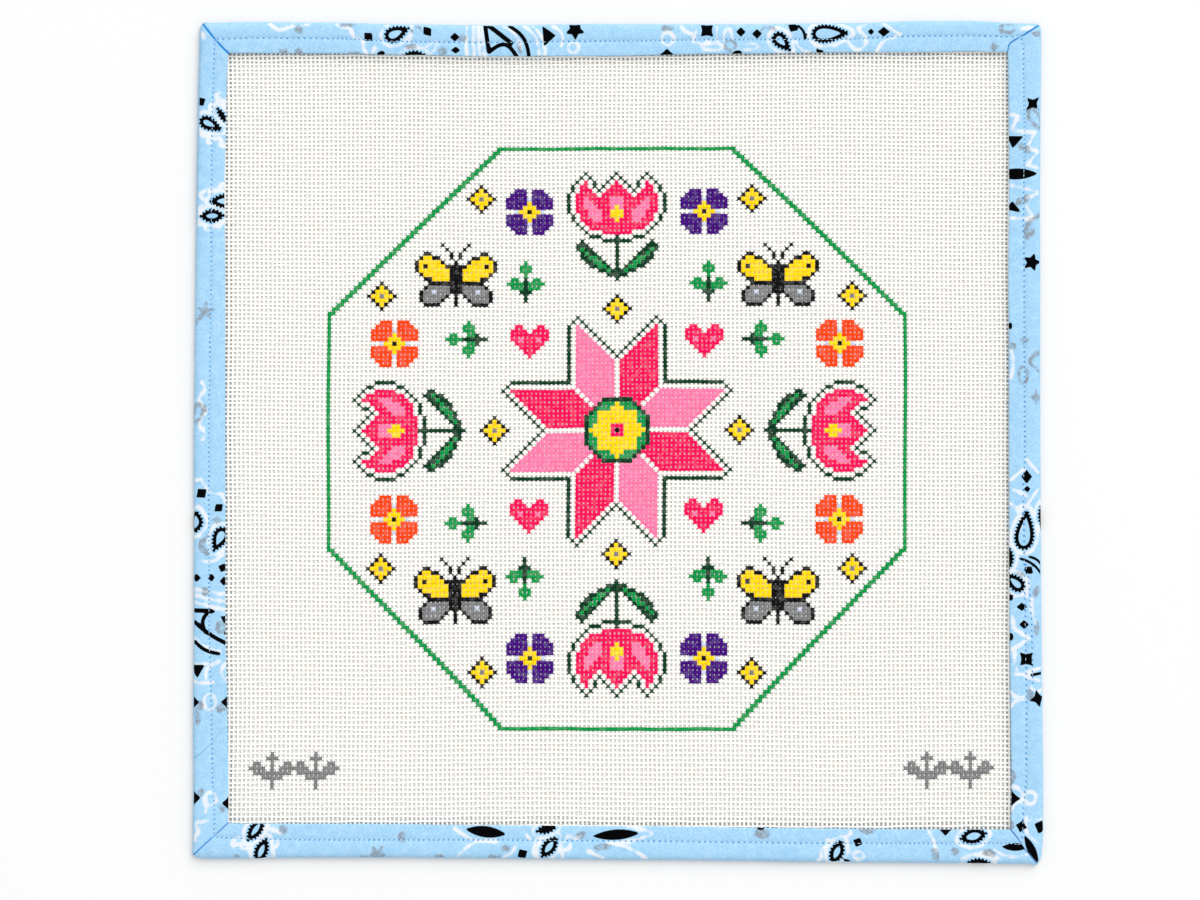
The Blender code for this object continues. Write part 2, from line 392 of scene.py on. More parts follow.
def thread_lines(upright):
    """The middle lines of all the threads of one direction, with what is painted on them."""
    facts = crossing_facts()
    if upright:
        facts = facts.swapaxes(0, 1)
    own, other = (columns, rows) if upright else (rows, columns)
    start = (canvas_low.y if upright else canvas_low.x) + TUCK_GAP
    end = (canvas_high.y if upright else canvas_high.x) - TUCK_GAP
    side_low = (canvas_low.x if upright else canvas_low.y) + TUCK_GAP
    side_high = (canvas_high.x if upright else canvas_high.y) - TUCK_GAP
    rng = np.random.default_rng(13 if upright else 31)
    order = np.arange(len(other))
    threads = []                # of each: its places across and along, its lift and its facts
    for index, place in enumerate(own):
        crossings = other + level_stray(order, place) if upright else other
        along = np.array([start, *crossings, end])
        across = place + (np.zeros(len(along)) if upright else level_stray(index, along))
        over = np.where((order + index) % 2 == (0 if upright else 1), 1.0, -1.0)
        lift = np.array([0.0, *over, 0.0]) * THREAD_WAVE
        painted = np.vstack([UNPAINTED, facts[index], UNPAINTED])
        painted[:, 0] *= 1 + SLUB * rng.standard_normal(len(along)).clip(-2, 2)
        threads.append((across, along, lift, painted))
    hidden = list(np.arange(own[0] - THREAD_PITCH, side_low, -THREAD_PITCH))
    hidden += list(np.arange(own[-1] + THREAD_PITCH, side_high, THREAD_PITCH))
    count = int((end - start) / TUCKED_STEP) + 1
    for place in hidden:
        along = np.linspace(start, end, count)
        threads.append((np.full(count, place), along, 0.0, np.repeat(UNPAINTED, count, axis=0)))

    places, edges, painted = [], [], []
    first = 0
    for across, along, lift, its_facts in threads:
        x, y = (across, along) if upright else (along, across)
        shift_x, shift_y = wander(x, y)
        x = x + shift_x
        y = y + shift_y
        places.append(np.stack([x, y, canvas_middle(x, y) + lift], axis=1))
        run = np.arange(first, first + len(x) - 1)
        edges.append(np.stack([run, run + 1], axis=1))
        painted.append(its_facts)
        first += len(x)
    painted = np.concatenate(painted)
    values = {"thickness": painted[:, 0], "covered": painted[:, 1]}
    for group, key in enumerate(PAINT_GROUPS):
        values[key] = painted[:, 2 + 3 * group:5 + 3 * group]
    return make_source("thread_lines", np.concatenate(places), values, np.concatenate(edges))


def new_object(name, data):
    made = bpy.data.objects.new(name, data)
    bpy.context.scene.collection.objects.link(made)
    return made


def store(mesh, values):
    """Keeps named numbers or vectors at the points of a mesh."""
    for key, data in values.items():
        data = np.asarray(data, np.float32)
        kind, field = ("FLOAT", "value") if data.ndim == 1 else ("FLOAT_VECTOR", "vector")
        mesh.attributes.new(key, kind, "POINT").data.foreach_set(field, data.ravel())


def make_source(name, places, values, edges=()):
    """An object of loose points or open lines, with the values at every point."""
    mesh = bpy.data.meshes.new(name)
    mesh.vertices.add(len(places))
    mesh.vertices.foreach_set("co", np.asarray(places, np.float32).ravel())
    if len(edges):
        mesh.edges.add(len(edges))
        mesh.edges.foreach_set("vertices", edges.astype(np.int32).ravel())
    store(mesh, values)
    mesh.update()
    return new_object(name, mesh)


def fill(node, inputs):
    """Links or sets the inputs of a node, each given by its name or number."""
    for key, value in inputs.items():
        if isinstance(value, bpy.types.NodeSocket):
            node.id_data.links.new(value, node.inputs[key])
        else:
            node.inputs[key].default_value = value


def linker(tree):
    """A short way to add a node with its settings and inputs, which gives its first output."""
    def add(kind, settings=None, numbered=None, **named):
        node = tree.nodes.new(kind)
        for key, value in (settings or {}).items():
            setattr(node, key, value)
        fill(node, numbered or {})
        fill(node, {key.replace("_", " "): value for key, value in named.items()})
        return node.outputs[0] if node.outputs else None
    return add


def node_tree(name, numbers=()):
    """A Geometry Nodes tree with the named numbers as inputs, how to add to it, and what it is given."""
    tree = bpy.data.node_groups.new(name, "GeometryNodeTree")
    floats = [(number, "Float") for number in numbers]
    for label, kind in (("Geometry", "Geometry"), *floats, ("Material", "Material")):
        tree.interface.new_socket(label, in_out="INPUT", socket_type="NodeSocket" + kind)
    tree.interface.new_socket("Geometry", in_out="OUTPUT", socket_type="NodeSocketGeometry")
    add = linker(tree)
    return tree, add, add("NodeGroupInput").node.outputs


def hand_out(add, geometry, material):
    """Makes copies real, gives them their material and ends the tree."""
    real = add("GeometryNodeRealizeInstances", Geometry=geometry)
    add("NodeGroupOutput", Geometry=add("GeometryNodeSetMaterial", Geometry=real, Material=material))


def stored(add, name, kind="FLOAT"):
    return add("GeometryNodeInputNamedAttribute", {"data_type": kind}, Name=name)


def maths(add, operation, first, second=0.0, third=0.0):
    """One calculation on up to three numbers or sockets."""
    return add("ShaderNodeMath", {"operation": operation}, {0: first, 1: second, 2: third})


RING_DEPTH = 1.5                            # of a three-sided ring whose corners are 1 from its middle
RING_HALF_WIDTH = math.sin(math.radians(60))


def thread_tree():
    """Sweeps a three-sided thread along every line, ridge up, and closes its ends."""
    tree, add, given = node_tree("thread", ("Half width", "Depth"))
    lines = add("GeometryNodeMeshToCurve", Mesh=given["Geometry"])
    upright = add("GeometryNodeSetCurveNormal", {"mode": "Z_UP"}, Curve=lines)
    thickness = stored(add, "thickness")
    ring = add("GeometryNodeCurvePrimitiveCircle", Resolution=3, Radius=1.0)
    on_flank = add("FunctionNodeCompare", {"data_type": "INT", "operation": "GREATER_THAN"},
                   {2: add("GeometryNodeInputIndex"), 3: 0})
    marked = add("GeometryNodeStoreNamedAttribute", {"data_type": "FLOAT", "domain": "POINT"},
                 Geometry=ring, Name="flank", Value=on_flank)
    size = add("ShaderNodeCombineXYZ", X=maths(add, "DIVIDE", given["Depth"], RING_DEPTH),
               Y=maths(add, "DIVIDE", given["Half width"], RING_HALF_WIDTH), Z=1.0)
    profile = add("GeometryNodeTransform", Geometry=marked, Scale=size,
                  Rotation=(0.0, 0.0, math.radians(-90)))
    swept = add("GeometryNodeCurveToMesh", Curve=upright, Profile_Curve=profile,
                Scale=thickness, Fill_Caps=True)
    hand_out(add, add("GeometryNodeSetShadeSmooth", Geometry=swept), given["Material"])
    return tree


def scatter_tree(name, make_shape):
    """Sets one small shape on every point, with the point's own turn and size."""
    tree, add, given = node_tree(name)
    points = add("GeometryNodeMeshToPoints", Mesh=given["Geometry"])
    turn = stored(add, "turn", "FLOAT_VECTOR")
    size = stored(add, "size", "FLOAT_VECTOR")
    placed = add("GeometryNodeInstanceOnPoints", Points=points, Instance=make_shape(add),
                 Rotation=turn, Scale=size)
    hand_out(add, placed, given["Material"])
    return tree


def grow(source, name, tree, values):
    """Runs a Geometry Nodes tree on an object and turns the result into a plain mesh."""
    modifier = source.modifiers.new(name, "NODES")
    modifier.node_group = tree
    for socket in tree.interface.items_tree:
        if socket.in_out == "INPUT" and socket.name in values:
            modifier[socket.identifier] = values[socket.name]
    depsgraph = bpy.context.evaluated_depsgraph_get()
    mesh = bpy.data.meshes.new_from_object(
        source.evaluated_get(depsgraph), preserve_all_data_layers=True, depsgraph=depsgraph)
    mesh.name = name
    bpy.data.objects.remove(source, do_unlink=True)
    return new_object(name, mesh)


CORNER_OVERLAP = 0.12 * MM      # how far the paint in a hole's corner reaches under the threads
CORNER_DEPTH = 0.16 * MM
CORNER_SUNK = 0.6               # share of that depth that lies below the weave's middle
CORNER_UNEVEN = (0.75, 1.15)    # least and greatest share of a paint's run


def corner_wedge(add):
    """A low three-sided pyramid, one corner towards +X."""
    return add("GeometryNodeMeshCone", Vertices=3, Radius_Top=0.0, Radius_Bottom=1.0, Depth=1.0)


def corner_points():
    """A point in each corner of a hole that paint has run into, with its turn, size and paint."""
    rng = np.random.default_rng(47)
    places, turns, sizes, paints = [], [], [], []
    spots = [(entry, row, column, right, up) for entry in PAINTS
             for row, column in np.argwhere(chart == entry.letter)
             for right, up in ((1, 1), (-1, 1), (-1, -1), (1, -1))]
    for entry, row, column, right, up in spots:
        leg = entry.run * rng.uniform(*CORNER_UNEVEN) + 2 * CORNER_OVERLAP
        half_base = leg / math.sqrt(2)
        from_edge = leg / 3 - CORNER_OVERLAP
        x = columns[column]
        y = rows[row] + level_stray(row, x)
        shift_x, shift_y = wander(x, y)
        x += shift_x + right * (WARP_HALF_WIDTH + from_edge)
        y += shift_y + up * (WEFT_HALF_WIDTH + from_edge)
        places.append((x, y, canvas_middle(x, y) - CORNER_DEPTH * CORNER_SUNK))
        turns.append((0.0, 0.0, math.atan2(-up, -right)))
        sizes.append((half_base * 2 / 3, half_base / RING_HALF_WIDTH, CORNER_DEPTH))
        # Inside a hole painted all round the paint is drawn paler: painted light for the bright table seen
        # through it.
        round_hole = chart[row:row + up * 2:up, column:column + right * 2:right]
        thinned = entry.thinned if (round_hole != BARE).all() else 0.0
        paints.append([part + (1 - part) * thinned for part in entry.colour])
    return make_source("corner_points", places, {"turn": turns, "size": sizes, "paint": paints})


def shader_tree(name):
    """A new material, a way to add nodes to it, and its principled shader."""
    material = bpy.data.materials.new(name)
    material.use_nodes = True
    return material, linker(material.node_tree), material.node_tree.nodes["Principled BSDF"]


def attribute(add, name, output="Fac"):
    return add("ShaderNodeAttribute", {"attribute_name": name}).node.outputs[output]


def parts(add, name):
    """The three numbers of a vector that is stored at the points."""
    return add("ShaderNodeSeparateXYZ", Vector=attribute(add, name, "Vector")).node.outputs


def clamped(add, value, low=0.0, high=1.0):
    return maths(add, "MINIMUM", maths(add, "MAXIMUM", value, low), high)


def scaled(add, value, by, plus, *limits):
    """A number times another plus a third, kept between two limits where they are given."""
    made = maths(add, "MULTIPLY_ADD", value, by, plus)
    return clamped(add, made, *limits) if limits else made


def mixed(add, share, first, second, blend="MIX"):
    """A colour between two others."""
    first, second = ((*colour, 1.0) if isinstance(colour, tuple) else colour for colour in (first, second))
    made = add("ShaderNodeMix", {"data_type": "RGBA", "blend_type": blend}, {0: share, 6: first, 7: second})
    return made.node.outputs[2]


def noise(add, scale, detail=2.0):
    """Soft noise from 0 to 1 on Object coordinates."""
    vector = add("ShaderNodeTexCoord").node.outputs["Object"]
    return add("ShaderNodeTexNoise", Vector=vector, Scale=scale, Detail=detail)


def thread_material():
    """Stiffened white cotton with matt paint on the crossings that the design covers, and painted beige
    shade low on the threads' sides.
    """
    material, add, shader = shader_tree("painted_canvas_thread")
    fibres = noise(add, 1500.0, 3.0)
    patches = noise(add, 420.0)
    cloudy = noise(add, 9.0)

    white = mixed(add, fibres, (0.842, 0.828, 0.797), (0.897, 0.888, 0.862))
    white = mixed(add, maths(add, "MULTIPLY", cloudy, 0.30), white, (0.93, 0.92, 0.88))
    flank = attribute(add, "flank")
    # The lower sides of the threads are drawn beige and warmer: painted shade for the holes between them.
    painted_hole_shade_share = maths(add, "MULTIPLY", maths(add, "MULTIPLY", flank, flank), 0.90)
    white = mixed(add, painted_hole_shade_share, white, (0.96, 0.915, 0.800))
    edge = scaled(add, flank, -0.08, 0.63)
    edge = maths(add, "ADD", edge, scaled(add, fibres, 0.12, -0.06))
    covered = attribute(add, "covered")
    is_painted = scaled(add, maths(add, "SUBTRACT", covered, edge), 14.0, 0.5, 0.0, 1.0)

    colour = PAINTS[0].colour
    for group, key in enumerate(PAINT_GROUPS):
        masks = parts(add, key)
        for mask, entry in zip(masks, PAINTS[1 + 3 * group:4 + 3 * group]):
            colour = mixed(add, scaled(add, mask, 16.0, -7.5, 0.0, 1.0), colour, entry.colour)
    thin = maths(add, "MULTIPLY", maths(add, "SUBTRACT", patches, 0.50), 0.5)
    colour = mixed(add, clamped(add, thin, 0.0, 0.06), colour, (0.92, 0.90, 0.86))
    deep = maths(add, "MULTIPLY", maths(add, "MAXIMUM", maths(add, "SUBTRACT", 0.48, patches), 0.0), 1.2)
    colour = mixed(add, deep, colour, (0.45, 0.35, 0.40), "MULTIPLY")
    fill(shader, {
        "Base Color": mixed(add, is_painted, white, colour),
        "Roughness": scaled(add, is_painted, -0.22, 0.88),
        "Normal": add("ShaderNodeBump", Strength=0.35, Distance=0.12 * MM, Height=fibres),
        "Specular IOR Level": 0.10,
    })
    return material


def corner_material():
    """The same matt paint run into the corners of the holes, paler with painted light in holes painted all
    round.
    """
    material, add, shader = shader_tree("paint_in_the_holes")
    colour = attribute(add, "paint", "Color")
    fill(shader, {"Base Color": colour, "Roughness": 0.7, "Specular IOR Level": 0.10})
    return material


canvas_thread = thread_material()
sweep = thread_tree()
warp, weft = (
    grow(thread_lines(upright), name, sweep,
         {"Half width": half_width, "Depth": THREAD_DEPTH, "Material": canvas_thread})
    for upright, name, half_width in (
        (True, "canvas_warp", WARP_HALF_WIDTH), (False, "canvas_weft", WEFT_HALF_WIDTH))
)
corners = grow(corner_points(), "paint_in_holes", scatter_tree("corners", corner_wedge),
               {"Material": corner_material()})
for threads in (warp, weft, corners):
    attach(threads, "root")
    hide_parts("canvas")

# ---------------------------------------------------------------- the binding
# One strip of thin cotton cut on the bias, with both its edges turned in, folded in half over the
# canvas edge and mitred at the corners. Its two ends are joined by a slanting seam on the left.

HALF_WIDTH = 190.5 * MM         # of the rectangle that the panel's edge touches at its widest
HALF_HEIGHT = 188.8 * MM

# Along each side, from its left or lower end, in millimetres: how far the fold lies in from that
# rectangle (below zero where it strays past it), how wide the binding shows, and how far in from
# the rectangle the sewing runs.
EdgeRows = namedtuple("EdgeRows", "along fold_inset width sewing")
EDGES = {
    "bottom": (
        (6, 2.7, 15.6, 12.1), (24, 2.7, 15.4, 11.4), (50, 3.1, 14.9, 11.1), (95, 3.1, 14.7, 11.1),
        (115, 2.8, 14.7, 11.1), (205, 2.1, 14.9, 10.5), (245, 1.7, 14.7, 10), (272, 1.2, 14.8, 9.6),
        (310, 0.9, 14.7, 9.4), (346, 0.6, 14.9, 9.4), (370, 0.3, 15.1, 9.4),
    ),
    "right": (
        (4, 0.7, 13.6, 9.3), (15, 0, 14.3, 9.1), (34, 0, 14, 7.6), (69, 0.3, 14.1, 7.5),
        (90, 0.6, 14, 7.8), (115, 0.8, 14.1, 8.2), (141, 1, 14.1, 8.6), (166, 1.1, 14, 9),
        (182, 1.2, 14, 8.3), (230, 1.3, 13.9, 8.5), (266, 1.3, 14.1, 8.6), (298, 1.4, 13.7, 8.9),
        (328, 1.2, 14, 8.5), (362, 0.9, 14.6, 8.9),
    ),
    "top": (
        (6, 0.6, 13.7, 8), (24, 0.2, 13.8, 7.4), (60, 0.4, 13.7, 7.6), (95, 1.2, 13.5, 9),
        (130, 1.6, 13.8, 9.4), (185, 1.1, 14.1, 8.8), (240, 1.2, 13, 8.1), (292, 0.7, 12.9, 8),
        (328, -0.2, 13.8, 6.6), (346, -0.3, 13.5, 6.3), (376, 0.9, 12.9, 7.1),
    ),
    "left": (
        (15, 0, 15.9, 9.7), (36, 0.3, 15.6, 8.9), (69, 0.2, 15.1, 8.4), (105, 0.4, 14.1, 7.4),
        (159, 0.5, 14, 7.2), (194, 0.5, 13.9, 7.3), (230, 0.9, 13.5, 7.8), (266, 1.3, 13.1, 8.3),
        (302, 1.7, 12.4, 8.4), (338, 2.3, 12.5, 8.9), (370, 3, 12.7, 9.9),
    ),
}

# The strip runs round the panel anticlockwise from the lower left corner. start is a side's left
# or lower end, axis runs along it, inward to the middle, and way is -1 where the strip runs back.
BindingSide = namedtuple("BindingSide", "name length start axis inward way")
BINDING_SIDES = (
    BindingSide("bottom", 2 * HALF_WIDTH, (-HALF_WIDTH, -HALF_HEIGHT), (1, 0), (0, 1), 1),
    BindingSide("right", 2 * HALF_HEIGHT, (HALF_WIDTH, -HALF_HEIGHT), (0, 1), (-1, 0), 1),
    BindingSide("top", 2 * HALF_WIDTH, (-HALF_WIDTH, HALF_HEIGHT), (1, 0), (0, -1), -1),
    BindingSide("left", 2 * HALF_HEIGHT, (-HALF_WIDTH, -HALF_HEIGHT), (0, 1), (1, 0), -1),
)

SIDE_STATIONS = 522             # cross-sections of the strip along a side, and round a corner
CORNER_STATIONS = 13
CORNER_RADIUS = 3.0 * MM
HEM_CORNER_RADIUS = 0.6 * MM

LEAF_TOP = 3.55 * MM            # height of the strip's upper face, before it swells
PLY = 0.50 * MM                 # one layer of the cloth on the face, and underneath
LOWER_PLY = 0.32 * MM
HEM_GAP = 0.08 * MM             # between a leaf and its turned-in hem
HEM_DEPTH = 12.0 * MM           # how far each edge is turned in
FOLD_REACH = 2.2 * MM           # how far in the rounding of the fold reaches
SWELL = 0.22 * MM               # how far the cloth rises between the fold, the sewing and the hem
HEM_TO_SEWING = (0.96, 0.88, 0.76, 0.62, 0.48, 0.34, 0.20, 0.09)    # columns of the cross-section
SEWING_TO_FOLD = (0.91, 0.80, 0.66, 0.52, 0.38, 0.24, 0.11)
# The rounding of the fold, as shares of its reach and of the strip's height.
FOLD_ROUND = ((0.55, 0.92), (0.26, 0.76), (0.07, 0.54), (0.0, 0.32), (0.07, 0.12), (0.25, 0.02))


def edge_value(side, along, column):
    """A column of a side's rows at distances along it, blended softly between the rows."""
    table = EdgeRows(*(np.array(EDGES[side.name]).T * MM))
    values = getattr(table, column)
    along = np.clip(along, table.along[0], table.along[-1] - 1e-9)
    index = np.searchsorted(table.along, along, side="right") - 1
    share = smooth((along - table.along[index]) / (table.along[index + 1] - table.along[index]))
    return values[index] * (1 - share) + values[index + 1] * share


def fold_line(side, along):
    return edge_value(side, along, "fold_inset")


def hem_line(side, along):
    return edge_value(side, along, "fold_inset") + edge_value(side, along, "width")


def side_run(index, line, radius):
    """A line of one side between its two corner roundings: distances along, and the points."""
    side = BINDING_SIDES[index]
    before = BINDING_SIDES[index - 1]
    after = BINDING_SIDES[(index + 1) % 4]
    inset_before = float(line(before, np.array([before.length if before.way > 0 else 0.0]))[0])
    inset_after = float(line(after, np.array([0.0 if after.way > 0 else after.length]))[0])
    along = np.linspace(inset_before + radius, side.length - inset_after - radius, SIDE_STATIONS)
    if side.way < 0:
        along = side.length - along
    distance = line(side, along)
    x, y = (side.start[k] + side.axis[k] * along + side.inward[k] * distance for k in (0, 1))
    return along, np.stack([x, y], axis=1)


def strip_ring(line, radius):
    """The points of one line all the way round the panel."""
    runs = [side_run(index, line, radius)[1] for index in range(4)]
    points = []
    for index, run in enumerate(runs):
        last = run[-1]
        first = runs[(index + 1) % 4][0]
        level_first = index % 2 == 0
        centre = np.array([last[0], first[1]]) if level_first else np.array([first[0], last[1]])
        angles = np.radians(-90 + 90 * index + np.linspace(0, 90, CORNER_STATIONS + 2)[1:-1])
        arc = abs(first - last) * np.stack([np.cos(angles), np.sin(angles)], axis=1)
        points += [run, centre + arc]
    return np.concatenate(points)


def station_facts():
    """For each cross-section its side, its place along the side, its width and its sewing."""
    runs = []
    for index, side in enumerate(BINDING_SIDES):
        along = side_run(index, fold_line, CORNER_RADIUS)[0]
        width = edge_value(side, along, "width")
        sewing = edge_value(side, along, "sewing") - fold_line(side, along)
        runs.append(np.stack([np.full(SIDE_STATIONS, index), along, width, sewing]))
    turned = np.arange(CORNER_STATIONS) > CORNER_STATIONS // 2
    share = np.linspace(0, 1, CORNER_STATIONS + 2)[1:-1]
    facts = []
    for index, run in enumerate(runs):
        last = run[:, -1:]
        first = runs[(index + 1) % 4][:, :1]
        jumps = np.where(turned, first, last)[:2]
        blends = (last * (1 - share) + first * share)[2:]
        facts += [run, np.vstack([jumps, blends])]
    side_of, *others = np.concatenate(facts, axis=1)
    return side_of.astype(int), *others


def section_columns(width, sewing):
    """How far in from the fold, and how high, each column of each cross-section lies.

    The columns run from the upper raw edge round the outside of the folded strip to the lower raw
    edge, and back along the wrong side of the cloth. Also which of them are on the printed face."""
    under_hem = LEAF_TOP - 2 * PLY - HEM_GAP
    inner_hem = width - PLY
    raw = width - HEM_DEPTH
    lower_top = 2 * LOWER_PLY + HEM_GAP
    hem = [(raw, under_hem), (width - 0.10 * MM, under_hem)]
    face = [(width, under_hem + 0.35 * MM), (width, LEAF_TOP - 0.30 * MM),
            (width - 0.12 * MM, LEAF_TOP - 0.06 * MM)]
    for near, far, shares in ((sewing, width, HEM_TO_SEWING), (FOLD_REACH, sewing, SEWING_TO_FOLD)):
        face += [(near + (far - near) * share, LEAF_TOP + SWELL * math.sin(math.pi * share) ** 0.6)
                 for share in shares]
        face.append((near, LEAF_TOP))
    face += [(FOLD_REACH * across, LEAF_TOP * up) for across, up in FOLD_ROUND]
    face += [(FOLD_REACH, 0.0), (sewing, 0.0), (width - 0.15 * MM, 0.0)]
    rest = [
        (width, 0.20 * MM), (width, lower_top - 0.20 * MM), (width - 0.10 * MM, lower_top),
        (raw, lower_top), (raw, lower_top - LOWER_PLY), (inner_hem, lower_top - LOWER_PLY),
        (inner_hem, LOWER_PLY), (FOLD_REACH * 0.4, LOWER_PLY), (FOLD_REACH * 0.32, LEAF_TOP * 0.38),
        (FOLD_REACH * 0.85, LEAF_TOP - PLY * 1.1), (inner_hem, LEAF_TOP - PLY),
        (inner_hem, LEAF_TOP - PLY - HEM_GAP), (raw, LEAF_TOP - PLY - HEM_GAP),
    ]
    distance, height = (
        np.stack([np.broadcast_to(column[part], width.shape) for column in (*hem, *face, *rest)], axis=1)
        for part in (0, 1))
    printed = np.repeat([False, True, False], (len(hem), len(face), len(rest)))
    return distance, height, printed


# ---------------------------------------------------------------- the print on the binding
# The cloth is printed in black, white and grey with leaves, drops, stars, squares and curls of
# the traditional bandana kind. Each mark is given in millimetres along its side and inward.

# kind is solid, toothed for a pointed oval outline with teeth, filled for the same but black all
# over, or drop for a toothed teardrop outline with its tip at the far end of its length.
Leaf = namedtuple("Leaf", "along inward length width turn kind")
# corners is 0 for an oval, and hollow says how far the sides between the corners are drawn in.
Spot = namedtuple("Spot", "along inward length width turn corners hollow ink")
Loop = namedtuple("Loop", "along inward length width turn line ink")
# bend is how far the middle of the line, or each wave of it, stands off its ends' straight line.
Line = namedtuple("Line", "along inward length turn bend waves width ink")


def alike(form, shared, *rows):
    """Marks of one form whose last columns are the same, and are given once, before the rows."""
    return [form(*row, *shared) for row in rows]


